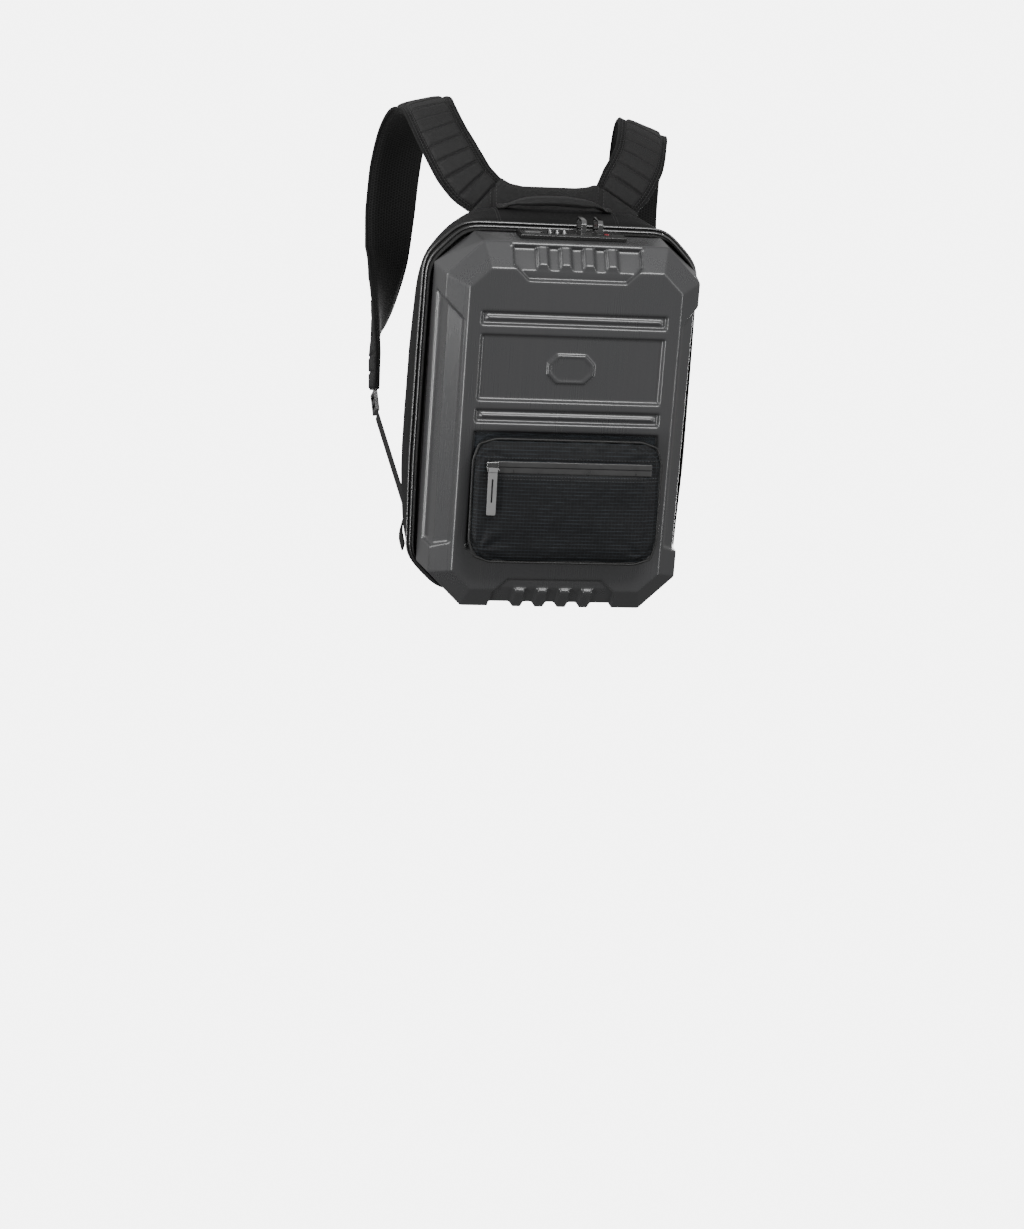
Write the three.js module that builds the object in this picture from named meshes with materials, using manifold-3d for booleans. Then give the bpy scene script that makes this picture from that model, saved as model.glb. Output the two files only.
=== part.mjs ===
// A hard shell backpack, in millimetres, +Z up, with the shell facing -Y and the wearer on the +Y side.
// Every length below is measured from the middle of the shell's front face. The whole model is then
// moved, so that its origin lies midway between the wearer's two shoulders, under the strap crests.

import * as THREE from 'three';
import { mergeVertices } from 'three/addons/utils/BufferGeometryUtils.js';
import Module from 'manifold-3d';

const wasm = await Module();
wasm.setup();

// Clearance kept between two pieces that touch on the real bag.
const GAP = 0.3;

// Hard shell.
const SHELL_HALF_WIDTH = 153;
const SHELL_HALF_HEIGHT = 215;
const SHELL_DEPTH = 79.5;
const SHELL_WALL = 3;
const RECESS_DEPTH = 4.5;
const RECESS_SLOPE = 2.5;

// Soft rear half.
const ZIP_WIDTH = 13.2;
const ZIP_TAPE = 2.5;
const COIL_HEIGHT = 1.6;
const PIPING_RADIUS = 2;
const BODY_OVER_SIDE = 5;
const BODY_OVER_TOP = 2.5;
const BODY_HALF_WIDTH = SHELL_HALF_WIDTH + BODY_OVER_SIDE;
const BODY_HALF_HEIGHT = SHELL_HALF_HEIGHT + BODY_OVER_TOP;
const BODY_DEPTH = 88.5;
const BODY_WALL = 3;
const BODY_CORNER = 42;
const PAD_THICKNESS = 10;
const PAD_CORNER = 36;
const PAD_HALF_WIDTH = 116;
const PAD_TOP = 172;
const PAD_BOTTOM = -182;

// Lock on the top edge.
const LOCK_HALF_LENGTH = 61;
const LOCK_WIDTH = 35;
const LOCK_MARGIN = 2.5;
const LOCK_FRONT = SHELL_DEPTH - LOCK_MARGIN - LOCK_WIDTH;
const LOCK_HEIGHT = 5.2;
const DIAL_RADIUS = 3.9;
const DIAL_WIDTH = 4.6;
const DIAL_PITCH = 8.3;
const RELEASE_LENGTH = 18;
const RELEASE_WIDTH = 7;
const RELEASE_TRAVEL = 3.5;
const PULL_WIDTH = 6;
const PULL_BAR = 2.4;
const PULL_RISE = 15;

// Front pocket.
const POCKET_HALF_WIDTH = 107.5;
const POCKET_HEIGHT = 138.5;
const POCKET_TOP = -5;
const POCKET_DEPTH_TOP = 24;
const POCKET_DEPTH_BOTTOM = 36;
const POCKET_WALL = 2;
const POCKET_ROUND = 26;
const POCKET_PIPING = 1.5;
const STRIP_HEIGHT = 13.5;
const STRIP_DROP = 22;
const TAB_WIDTH = 10.5;
const TAB_LENGTH = 52;
const TAB_THICKNESS = 1.8;

// Straps, yoke and handle.
const STRAP_WIDTH = 66;
const STRAP_THICKNESS = 12;
const QUILT_PITCH = 21;
const QUILT_DEPTH = 3;
const CREST_DEPTH = 300;
const BACK_ARC_DEPTH = 108;
const STRAP_ROOT_HEIGHT = 205;
const CHEST_REACH = 125;
const YOKE_THICKNESS = 12;
const YOKE_LEAN = 0.26;
const NECK_HEIGHT = 247;
const HANDLE_HALF_LENGTH = 61;
const HANDLE_WIDTH = 24;
const HANDLE_THICKNESS = 11;
const HANDLE_RISE = 19;
const WEBBING_WIDTH = 20;
const WEBBING_THICKNESS = 1.6;

// Each shoulder stands at its own height, as the bag is worn a little turned.
const SIDES = {
  left: { side: -1, crestX: 142.5, crestZ: 331, endX: 190, endZ: -27, tilt: 15 },
  right: { side: 1, crestX: 128.5, crestZ: 312, endX: 178, endZ: -29, tilt: 22 },
};
const ORIGIN_HEIGHT = (SIDES.left.crestZ + SIDES.right.crestZ) / 2 - STRAP_THICKNESS;

const MATERIALS = {
  shell: new THREE.MeshStandardMaterial({ color: 0x3f4042, roughness: 0.45, metalness: 0.1 }),
  fabric: new THREE.MeshStandardMaterial({ color: 0x141416, roughness: 0.85, metalness: 0 }),
  ripstop: new THREE.MeshStandardMaterial({ color: 0x16181c, roughness: 0.7, metalness: 0 }),
  piping: new THREE.MeshStandardMaterial({ color: 0x0c0c0d, roughness: 0.25, metalness: 0 }),
  zip: new THREE.MeshStandardMaterial({ color: 0x0a0a0b, roughness: 0.7, metalness: 0 }),
  strip: new THREE.MeshStandardMaterial({ color: 0x3a3a3c, roughness: 0.6, metalness: 0 }),
  plastic: new THREE.MeshStandardMaterial({ color: 0x0d0d0e, roughness: 0.2, metalness: 0 }),
  metal: new THREE.MeshStandardMaterial({ color: 0x5a5b5e, roughness: 0.2, metalness: 1 }),
  tab: new THREE.MeshStandardMaterial({ color: 0x6a6a6c, roughness: 0.6, metalness: 0 }),
  signal: new THREE.MeshStandardMaterial({ color: 0x7a1020, roughness: 0.3, metalness: 0 }),
  mesh: new THREE.MeshStandardMaterial({ color: 0x1a1a1c, roughness: 0.95, metalness: 0 }),
};

// Geometry helpers.

const vector = (p) => new THREE.Vector3(...p);
const mix = (a, b, t) => a + (b - a) * t;
const radians = THREE.MathUtils.degToRad;

function geometryOf(points, faces) {
  let volume = 0;
  for (const [a, b, c] of faces) {
    volume += vector(points[a]).dot(vector(points[b]).cross(vector(points[c])));
  }
  const turned = volume < 0 ? faces.map(([a, b, c]) => [a, c, b]) : faces;
  const geometry = new THREE.BufferGeometry();
  geometry.setAttribute('position', new THREE.Float32BufferAttribute(points.flat(), 3));
  geometry.setIndex(turned.flat());
  return geometry;
}

// Triangles that close a flat ring, wound the way the ring runs.
function capFaces(ring, first) {
  const normal = new THREE.Vector3();
  ring.forEach((p, i) => normal.add(vector(p).cross(vector(ring[(i + 1) % ring.length]))));
  const sizes = normal.toArray().map(Math.abs);
  const axis = sizes.indexOf(Math.max(...sizes));
  const [u, v] = [0, 1, 2].filter((k) => k !== axis);
  const flat = ring.map((p) => new THREE.Vector2(p[u], p[v]));
  const ringSign = Math.sign(THREE.ShapeUtils.area(flat));
  return THREE.ShapeUtils.triangulateShape(flat, []).map((face) => {
    const sign = Math.sign(THREE.ShapeUtils.area(face.map((i) => flat[i])));
    const [a, b, c] = face.map((i) => i + first);
    return sign === ringSign ? [a, b, c] : [a, c, b];
  });
}

// A closed skin over rings of points. A loop joins its last ring to its first, and the rest are capped.
function skin(rings, loop = false) {
  const count = rings[0].length;
  const faces = [];
  const bands = loop ? rings.length : rings.length - 1;
  for (let band = 0; band < bands; band++) {
    const here = band * count;
    const next = ((band + 1) % rings.length) * count;
    for (let i = 0; i < count; i++) {
      const j = (i + 1) % count;
      faces.push([here + i, here + j, next + j], [here + i, next + j, next + i]);
    }
  }
  if (!loop) {
    const last = rings.length - 1;
    faces.push(...capFaces(rings[0], 0).map(([a, b, c]) => [a, c, b]));
    faces.push(...capFaces(rings[last], last * count));
  }
  return geometryOf(rings.flat(), faces);
}

function toSolid(geometry) {
  const bare = geometry.clone();
  bare.deleteAttribute('normal');
  bare.deleteAttribute('uv');
  const merged = mergeVertices(bare, 1e-4);
  return new wasm.Manifold(new wasm.Mesh({
    numProp: 3,
    vertProperties: new Float32Array(merged.attributes.position.array),
    triVerts: new Uint32Array(merged.index.array),
  }));
}

function toGeometry(solid) {
  const mesh = solid.getMesh();
  const geometry = new THREE.BufferGeometry();
  geometry.setAttribute('position', new THREE.BufferAttribute(new Float32Array(mesh.vertProperties), 3));
  geometry.setIndex(new THREE.BufferAttribute(new Uint32Array(mesh.triVerts), 1));
  return geometry;
}

const join = (solids) => solids.reduce((whole, next) => whole.add(next));
const cut = (solid, tools) => tools.reduce((whole, next) => whole.subtract(next), solid);

// A flat outline moved out by a distance, mitred at its corners. A negative distance moves it in.
function offset(outline, distance) {
  const points = outline.map((p) => new THREE.Vector2(...p));
  const sign = Math.sign(THREE.ShapeUtils.area(points));
  return points.map((point, i) => {
    const before = points[(i + points.length - 1) % points.length];
    const after = points[(i + 1) % points.length];
    const a = point.clone().sub(before).normalize();
    const b = after.clone().sub(point).normalize();
    const normalA = new THREE.Vector2(a.y, -a.x).multiplyScalar(sign);
    const normalB = new THREE.Vector2(b.y, -b.x).multiplyScalar(sign);
    const mitre = normalA.clone().add(normalB);
    const reach = (2 * distance) / mitre.lengthSq();
    return [point.x + mitre.x * reach, point.y + mitre.y * reach];
  });
}

// Prisms along the three axes from a flat outline.
const alongX = (yz, from, to) => skin([from, to].map((x) => yz.map(([y, z]) => [x, y, z])));
const alongY = (xz, from, to) => skin([from, to].map((y) => xz.map(([x, z]) => [x, y, z])));
const rectangle = (x0, x1, z0, z1) => [[x0, z0], [x1, z0], [x1, z1], [x0, z1]];
const block = (x0, x1, y0, y1, z0, z1) => alongY(rectangle(x0, x1, z0, z1), y0, y1);

// An outline with every corner rounded off by a short curve of three points.
function rounded(corners, radius) {
  return corners.flatMap((corner, i) => {
    const here = new THREE.Vector2(...corner);
    const before = new THREE.Vector2(...corners[(i + corners.length - 1) % corners.length]);
    const after = new THREE.Vector2(...corners[(i + 1) % corners.length]);
    const reach = Math.min(radius, here.distanceTo(before) * 0.45, here.distanceTo(after) * 0.45);
    const start = here.clone().add(before.sub(here).setLength(reach));
    const end = here.clone().add(after.sub(here).setLength(reach));
    const middle = start.clone().add(end).multiplyScalar(0.25).addScaledVector(here, 0.5);
    return [start.toArray(), middle.toArray(), end.toArray()];
  });
}

// Shell.

// Shares of the shell's half width, half height and depth. Edge is where the top and bottom edges
// end, shoulder is where the sides end, and the chamfer runs between the two.
const SHELL_SECTIONS = [
  { depth: 0, width: 0.796, edge: 0.647, shoulder: 0.772, height: 0.874 },
  { depth: 0.286, width: 0.958, edge: 0.693, shoulder: 0.814, height: 1 },
  { depth: 1, width: 1, edge: 0.712, shoulder: 0.826, height: 1 },
];

function octagon(section, inset, cornerInset) {
  const width = section.width * SHELL_HALF_WIDTH - inset;
  const edge = section.edge * SHELL_HALF_WIDTH - cornerInset;
  const shoulder = section.shoulder * SHELL_HALF_HEIGHT - cornerInset;
  const height = section.height * SHELL_HALF_HEIGHT - inset;
  return [
    [edge, height], [-edge, height], [-width, shoulder], [-width, -shoulder],
    [-edge, -height], [edge, -height], [width, -shoulder], [width, shoulder],
  ];
}

const [FACE, BEVEL, RIM] = SHELL_SECTIONS;
const BEVEL_DEPTH = BEVEL.depth * SHELL_DEPTH;
const FACE_TOP = FACE.height * SHELL_HALF_HEIGHT;
const FACE_SIDE = FACE.width * SHELL_HALF_WIDTH;
const BEVEL_SIDE = BEVEL.width * SHELL_HALF_WIDTH;
const REAR_SIDE = RIM.width * SHELL_HALF_WIDTH;

function shellOuter() {
  return skin(SHELL_SECTIONS.map((section) =>
    octagon(section, 0, 0).map(([x, z]) => [x, section.depth * SHELL_DEPTH, z])));
}

// The inside follows the outside one wall in, and runs on past the open rear.
function shellInner() {
  const corner = SHELL_WALL * Math.tan(Math.PI / 8);
  const past = SHELL_DEPTH * 0.1;
  const rings = [
    [octagon(FACE, corner, corner), SHELL_WALL],
    [octagon(BEVEL, SHELL_WALL, corner), BEVEL_DEPTH + corner],
    [octagon(RIM, SHELL_WALL, corner), SHELL_DEPTH],
    [octagon(RIM, SHELL_WALL, corner), SHELL_DEPTH + past],
  ];
  return skin(rings.map(([outline, y]) => outline.map(([x, z]) => [x, y, z])));
}

// Sunk places on the front face, as shares of the shell's half width and half height.
const FACE_RECESSES = [
  { name: 'upper groove', width: 0.702, top: 0.650, bottom: 0.571, ridge: true },
  { name: 'panel', width: 0.696, top: 0.527, bottom: 0.164, ridge: false },
  { name: 'lower groove', width: 0.702, top: 0.124, bottom: 0.045, ridge: true },
  { name: 'pocket seat', width: 0.706, top: 0.005, bottom: -0.651, ridge: false },
];

// A sunk place with sloping walls. Grown by a wall, it leaves that wall round it inside the shell.
function faceRecess(row, grow) {
  const side = row.width * SHELL_HALF_WIDTH;
  const mouth = rectangle(-side, side, row.bottom * SHELL_HALF_HEIGHT, row.top * SHELL_HALF_HEIGHT);
  const front = offset(mouth, grow);
  const floor = offset(mouth, grow - RECESS_SLOPE);
  return skin([
    front.map(([x, z]) => [x, -SHELL_WALL, z]),
    front.map(([x, z]) => [x, 0, z]),
    floor.map(([x, z]) => [x, RECESS_DEPTH + grow, z]),
  ]);
}

// The three-sided ridge that runs along the middle of a groove, with sloping ends.
function grooveRidge(row) {
  const side = row.width * SHELL_HALF_WIDTH - RECESS_SLOPE * 1.6;
  const middle = ((row.top + row.bottom) / 2) * SHELL_HALF_HEIGHT;
  const half = ((row.top - row.bottom) / 2) * SHELL_HALF_HEIGHT - RECESS_SLOPE * 1.6;
  const crest = RECESS_DEPTH * 0.22;
  const root = RECESS_DEPTH * 1.1;
  const end = side - half * 1.3;
  return skin([
    [[-side, root, middle - half], [-side, root, middle + half], [-end, crest, middle]],
    [[side, root, middle - half], [side, root, middle + half], [end, crest, middle]],
  ]);
}

// The plain badge in the middle of the sunk panel: a low eight-sided boss with a sunk face.
const BADGE_HALF_WIDTH = 27;
const BADGE_HALF_HEIGHT = 17;
const BADGE_CORNER = 10;
const BADGE_HEIGHT = 2.6;
const BADGE_RIM = 3;

function badgeOutline(grow) {
  const w = BADGE_HALF_WIDTH + grow;
  const h = BADGE_HALF_HEIGHT + grow;
  const c = BADGE_CORNER;
  const middle = ((FACE_RECESSES[1].top + FACE_RECESSES[1].bottom) / 2) * SHELL_HALF_HEIGHT;
  const corners = [
    [w - c, h], [c - w, h], [-w, h - c], [-w, c - h], [c - w, -h], [w - c, -h], [w, c - h], [w, h - c],
  ];
  return corners.map(([x, z]) => [x, z + middle]);
}

function badge() {
  const front = RECESS_DEPTH - BADGE_HEIGHT;
  const boss = skin([
    badgeOutline(0).map(([x, z]) => [x, RECESS_DEPTH + BADGE_RIM / 2, z]),
    badgeOutline(0).map(([x, z]) => [x, RECESS_DEPTH, z]),
    badgeOutline(-1).map(([x, z]) => [x, front, z]),
  ]);
  const dish = skin([
    badgeOutline(-BADGE_RIM).map(([x, z]) => [x, front - 1, z]),
    badgeOutline(-BADGE_RIM).map(([x, z]) => [x, front, z]),
    badgeOutline(-BADGE_RIM - 0.8).map(([x, z]) => [x, front + 1, z]),
  ]);
  return toSolid(boss).subtract(toSolid(dish));
}

// A long notch in each side, between the corner bumpers. Its section lies across the bevel and the
// side wall: a strip of bevel stays beside the face, and a step up ends it towards the rim.
const SIDE_NOTCH = {
  strip: 0.15, reach: 0.755, top: 0.595, bottom: -0.62, slantTop: 0.92, slantBottom: 0.5,
};

function sideNotch(side, grow) {
  const depthAt = (share) => BEVEL_DEPTH * share;
  const rear = SHELL_DEPTH * SIDE_NOTCH.reach;
  const sideAt = (y) => mix(BEVEL_SIDE, REAR_SIDE, (y - BEVEL_DEPTH) / (SHELL_DEPTH - BEVEL_DEPTH));
  const bevelAt = (share) => mix(FACE_SIDE, BEVEL_SIDE, share);
  const out = SHELL_HALF_WIDTH * 1.06;
  const stripEnd = [bevelAt(SIDE_NOTCH.strip), depthAt(SIDE_NOTCH.strip)];
  const section = [
    [stripEnd[0] + SHELL_WALL, stripEnd[1] - SHELL_WALL],
    stripEnd,
    [bevelAt(0.23), depthAt(0.43)],
    [BEVEL_SIDE - RECESS_DEPTH, BEVEL_DEPTH + RECESS_DEPTH * 0.7],
    [sideAt(rear) - RECESS_DEPTH, rear],
    [sideAt(rear), rear + RECESS_DEPTH * 0.25],
    [out, rear + RECESS_DEPTH * 0.25],
    [out, stripEnd[1] - SHELL_WALL],
  ];
  const outline = offset(section, grow);
  const { top, bottom, slantTop, slantBottom } = SIDE_NOTCH;
  const upper = ([x]) => top * SHELL_HALF_HEIGHT + (x - stripEnd[0]) * slantTop + grow;
  const lower = ([x]) => bottom * SHELL_HALF_HEIGHT - (x - stripEnd[0]) * slantBottom - grow;
  return skin([lower, upper].map((end) => outline.map((p) => [side * p[0], p[1], end(p)])));
}

// The notches at the top and bottom edge share one outline, in shares of half width and half height.
const EDGE_NOTCH = { wide: 0.48, narrow: 0.36, bend: 0.893, foot: 0.812 };
const RIB_COUNT = 4;
const RIB_PITCH = 26.6;
const RIB_HALF_WIDTH = 8.2;
const RIB_CREST = 4.8;
const BEVEL_ALONG = new THREE.Vector2(BEVEL_DEPTH, SHELL_HALF_HEIGHT - FACE_TOP).normalize();

// A point on the top bevel: x, distance up the slope from the front face, height above the slope.
function bevelPoint(x, along, above) {
  const y = BEVEL_ALONG.x * along - BEVEL_ALONG.y * above;
  const z = FACE_TOP + BEVEL_ALONG.y * along + BEVEL_ALONG.x * above;
  return [x, y, z];
}

function notchOutline(grow) {
  const wide = EDGE_NOTCH.wide * SHELL_HALF_WIDTH;
  const narrow = EDGE_NOTCH.narrow * SHELL_HALF_WIDTH;
  const bend = EDGE_NOTCH.bend * SHELL_HALF_HEIGHT;
  const foot = EDGE_NOTCH.foot * SHELL_HALF_HEIGHT;
  const over = SHELL_HALF_HEIGHT * 1.1;
  const half = [[narrow, foot], [wide, bend], [wide, over]];
  const mirrored = half.map(([x, z]) => [-x, z]).reverse();
  return offset([...mirrored, ...half], grow);
}

// What is cut away in front of the notch floor, seen from the side.
function notchProfile(closedTop, grow) {
  const floorStart = bevelPoint(0, BEVEL_ALONG.x * RECESS_DEPTH * 0.4, -RECESS_DEPTH);
  const bar = 5.5;
  const slope = Math.hypot(BEVEL_DEPTH, SHELL_HALF_HEIGHT - FACE_TOP);
  const floorEnd = bevelPoint(0, slope - bar, -RECESS_DEPTH);
  const barEdge = bevelPoint(0, slope - bar + 0.5, 0);
  const beyond = bevelPoint(0, slope - bar + 1, SHELL_WALL * 2);
  const foot = EDGE_NOTCH.foot * SHELL_HALF_HEIGHT;
  const start = [
    [-SHELL_WALL * 3, foot], [0, foot], [RECESS_DEPTH * 1.25, foot + 2], [RECESS_DEPTH, foot + 4.5],
    [RECESS_DEPTH, floorStart[2]],
  ];
  if (closedTop) {
    const lip = [floorEnd.slice(1), barEdge.slice(1), beyond.slice(1), [-SHELL_WALL * 3, beyond[2]]];
    return offset([...start, ...lip], grow);
  }
  const floorZ = SHELL_HALF_HEIGHT - RECESS_DEPTH * 1.2;
  const share = (floorZ - floorStart[2]) / (floorEnd[2] - floorStart[2]);
  const turn = [mix(RECESS_DEPTH, floorEnd[1], share), floorZ];
  const rear = SHELL_DEPTH * SIDE_NOTCH.reach;
  const over = SHELL_HALF_HEIGHT * 1.1;
  return offset([
    ...start, turn, [rear, floorZ], [rear + RECESS_DEPTH * 0.3, SHELL_HALF_HEIGHT + 1],
    [rear + RECESS_DEPTH * 0.3, over], [-SHELL_WALL * 3, over],
  ], grow);
}

function edgeNotch(closedTop, grow) {
  const across = SHELL_HALF_WIDTH;
  const profile = toSolid(alongX(notchProfile(closedTop, grow), -across, across));
  return profile.intersect(toSolid(alongY(notchOutline(grow), -SHELL_WALL * 6, SHELL_DEPTH * 0.9)));
}

const ribPlaces = Array.from({ length: RIB_COUNT }, (_, i) => (i - (RIB_COUNT - 1) / 2) * RIB_PITCH);

// A raised rib on the bevel, with sloping sides and a sloping front end.
function bevelRib(x, end) {
  const root = -RECESS_DEPTH * 1.15;
  const crest = -0.3;
  const ring = (half, from, above) => [
    bevelPoint(x - half, from, above), bevelPoint(x + half, from, above),
    bevelPoint(x + half, end, above), bevelPoint(x - half, end, above),
  ];
  return skin([ring(RIB_HALF_WIDTH, 1.5, root), ring(RIB_CREST, 7, crest)]);
}

// The same rib carried on along the bottom wall, to the step at the rear of the notch.
function wallRib(x) {
  const front = BEVEL_DEPTH * 0.9;
  const rear = SHELL_DEPTH * (SIDE_NOTCH.reach - 0.04);
  const root = SHELL_HALF_HEIGHT - RECESS_DEPTH * 1.35;
  const crest = SHELL_HALF_HEIGHT - 0.2;
  const ring = (half, z, end) => [
    [x - half, front, z], [x + half, front, z], [x + half, end, z], [x - half, end, z],
  ];
  return skin([ring(RIB_HALF_WIDTH, root, rear), ring(RIB_CREST, crest, rear - RECESS_DEPTH)]);
}

// The bar along the upper edge of the top notch.
function notchBar() {
  const half = EDGE_NOTCH.wide * SHELL_HALF_WIDTH + 2;
  const slope = Math.hypot(BEVEL_DEPTH, SHELL_HALF_HEIGHT - FACE_TOP);
  const ring = (x) => [
    bevelPoint(x, slope - 5.2, -2), bevelPoint(x, slope - 4.6, 1.2), bevelPoint(x, slope - 1.8, 1.8),
    bevelPoint(x, slope - 0.2, 0.4), bevelPoint(x, slope - 0.6, -2),
  ];
  return skin([ring(-half), ring(half)]);
}

const flipDown = new THREE.Matrix4().makeScale(1, 1, -1);
const upsideDown = (solid) => solid.transform(flipDown.toArray());

function frontShell() {
  const recesses = (grow) => [
    ...FACE_RECESSES.map((row) => toSolid(faceRecess(row, grow))),
    toSolid(sideNotch(-1, grow)),
    toSolid(sideNotch(1, grow)),
    edgeNotch(true, grow),
    upsideDown(edgeNotch(false, grow)),
  ];
  const slope = Math.hypot(BEVEL_DEPTH, SHELL_HALF_HEIGHT - FACE_TOP);
  const ribs = ribPlaces.flatMap((x) => [
    toSolid(bevelRib(x, slope - 3)),
    upsideDown(toSolid(bevelRib(x, slope - 1.2)).add(toSolid(wallRib(x)))),
  ]);
  const ridges = FACE_RECESSES.filter((row) => row.ridge).map((row) => toSolid(grooveRidge(row)));
  const sunk = cut(toSolid(shellOuter()), recesses(0));
  const outer = join([sunk, ...ribs, ...ridges, toSolid(notchBar()), badge()]);
  const hollow = cut(toSolid(shellInner()), recesses(SHELL_WALL));
  return outer.subtract(hollow);
}

// Soft rear half.

// Half width, corner cut, top and bottom follow the body's named sizes, and the sides swell between
// the corners. The outline is an octagon with rounded corners and two more points on each side.
function bodyOutline(row, grow) {
  const width = row.width * BODY_HALF_WIDTH + grow;
  const top = row.top * BODY_HALF_HEIGHT + grow;
  const bottom = -row.bottom * BODY_HALF_HEIGHT - grow;
  const cutTop = row.cut * BODY_CORNER;
  const cutBottom = BODY_CORNER;
  const swell = row.swell * BODY_HALF_WIDTH;
  const high = mix(bottom, top, 0.68);
  const low = mix(bottom, top, 0.36);
  const half = [
    [width - cutTop, top], [width, top - cutTop],
    [width + swell * 0.6, high], [width + swell, low],
    [width, bottom + cutBottom], [width - cutBottom, bottom],
  ];
  const mirrored = half.map(([x, z]) => [-x, z]).reverse();
  return rounded([...half, ...mirrored], row.round * BODY_CORNER);
}

// Shares of the body's half width, half height, depth and corner, from the zip to the back panel.
const BODY_SECTIONS = [
  { depth: 0, width: 1, top: 1, bottom: 1, cut: 1, swell: 0.012, round: 0.3 },
  { depth: 0.14, width: 1, top: 1.003, bottom: 1, cut: 1, swell: 0.02, round: 0.35 },
  { depth: 0.26, width: 1.003, top: 1.033, bottom: 1.012, cut: 1.15, swell: 0.04, round: 0.5 },
  { depth: 0.52, width: 1.006, top: 1.055, bottom: 1.026, cut: 1.28, swell: 0.06, round: 0.7 },
  { depth: 0.76, width: 0.997, top: 1.052, bottom: 1.02, cut: 1.32, swell: 0.055, round: 0.7 },
  { depth: 0.92, width: 0.955, top: 1.012, bottom: 0.985, cut: 1.3, swell: 0.045, round: 0.7 },
  { depth: 1, width: 0.89, top: 0.945, bottom: 0.92, cut: 1.25, swell: 0.03, round: 0.7 },
];
const ZIP_FRONT = SHELL_DEPTH + GAP;
const RIM_PIPING_DEPTH = ZIP_FRONT + ZIP_WIDTH + GAP + PIPING_RADIUS;
const BODY_FRONT = RIM_PIPING_DEPTH + PIPING_RADIUS + GAP;
const BODY_BACK = BODY_FRONT + BODY_DEPTH;
const BODY_PIPING_DEPTH = BODY_FRONT + BODY_DEPTH * 0.085;
const RIM_ROW = BODY_SECTIONS[0];

function backBody() {
  const last = BODY_SECTIONS.length - 1;
  const ring = (row, y, grow) => bodyOutline(row, grow).map(([x, z]) => [x, y, z]);
  const depthOf = (row) => BODY_FRONT + row.depth * BODY_DEPTH;
  const outer = BODY_SECTIONS.map((row) => ring(row, depthOf(row), 0));
  const inner = BODY_SECTIONS.map((row, i) =>
    ring(row, depthOf(row) - (i === last ? BODY_WALL : 0), -BODY_WALL));
  return skin([...outer.reverse(), ...inner]);
}

function pipingRing(row, y, grow, radius) {
  const sides = 6;
  const rings = Array.from({ length: sides }, (_, k) => {
    const turn = (k / sides) * 2 * Math.PI;
    const outline = bodyOutline(row, grow + radius * Math.cos(turn));
    return outline.map(([x, z]) => [x, y + radius * Math.sin(turn), z]);
  });
  return skin(rings, true);
}

// The zip's tape flares from the shell's rim out to the piping, and its coil stands up in the middle.
// Beside the shell it lies a little inside the shell's side wall, measured here from the body's.
const ZIP_SHELL_SIDE = SHELL_HALF_WIDTH - BODY_HALF_WIDTH - SHELL_WALL * 0.3;

function mainZip() {
  const shellSide = ZIP_SHELL_SIDE;
  const rows = [
    { along: 0, grow: shellSide },
    { along: 0.34, grow: shellSide },
    { along: 0.4, grow: shellSide + COIL_HEIGHT },
    { along: 0.6, grow: shellSide + COIL_HEIGHT },
    { along: 0.66, grow: shellSide + COIL_HEIGHT * 0.3 },
    { along: 1, grow: -PIPING_RADIUS * 0.5 },
    { along: 1, grow: -PIPING_RADIUS * 0.5 - ZIP_TAPE },
    { along: 0.66, grow: shellSide + COIL_HEIGHT * 0.3 - ZIP_TAPE },
    { along: 0, grow: shellSide - ZIP_TAPE },
  ];
  return skin(rows.map(({ along, grow }) =>
    bodyOutline(RIM_ROW, grow).map(([x, z]) => [x, ZIP_FRONT + along * ZIP_WIDTH, z])), true);
}

function backPad() {
  const corners = rectangle(-PAD_HALF_WIDTH, PAD_HALF_WIDTH, PAD_BOTTOM, PAD_TOP);
  const foot = BODY_BACK + GAP;
  const rows = [
    { y: foot, grow: 0 }, { y: foot + PAD_THICKNESS * 0.6, grow: 0 }, { y: foot + PAD_THICKNESS, grow: -6 },
  ];
  return skin(rows.map(({ y, grow }) => rounded(offset(corners, grow), PAD_CORNER).map(([x, z]) => [x, y, z])));
}

// Lock.

const LOCK_BASE = SHELL_HALF_HEIGHT + GAP;
const LOCK_TOP = LOCK_BASE + LOCK_HEIGHT;
const LOCK_ROW = LOCK_FRONT + LOCK_WIDTH * 0.42;
const DIAL_PLACES = [-1, 0, 1].map((i) => -LOCK_HALF_LENGTH * 0.29 + i * DIAL_PITCH);
const DIAL_HEIGHT = LOCK_BASE + GAP + DIAL_RADIUS;
const RELEASE_START = -LOCK_HALF_LENGTH * 0.9;
const DOCK_PLACES = [LOCK_HALF_LENGTH * 0.22, LOCK_HALF_LENGTH * 0.53];
const DOCK_DEPTH = LOCK_HEIGHT * 0.5;
const INDICATOR_PLACE = LOCK_HALF_LENGTH * 0.66;
const INDICATOR_HALF = 2.8;
const SLIDER_DEPTH = ZIP_FRONT + ZIP_WIDTH * 0.5;

function plan(x0, x1, y0, y1, z0, z1, taper) {
  const ring = (inset, z) => [
    [x0 + inset, y0 + inset, z], [x1 - inset, y0 + inset, z],
    [x1 - inset, y1 - inset, z], [x0 + inset, y1 - inset, z],
  ];
  return skin([ring(0, z0), ring(0, z1 - taper), ring(taper, z1)]);
}

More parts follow.
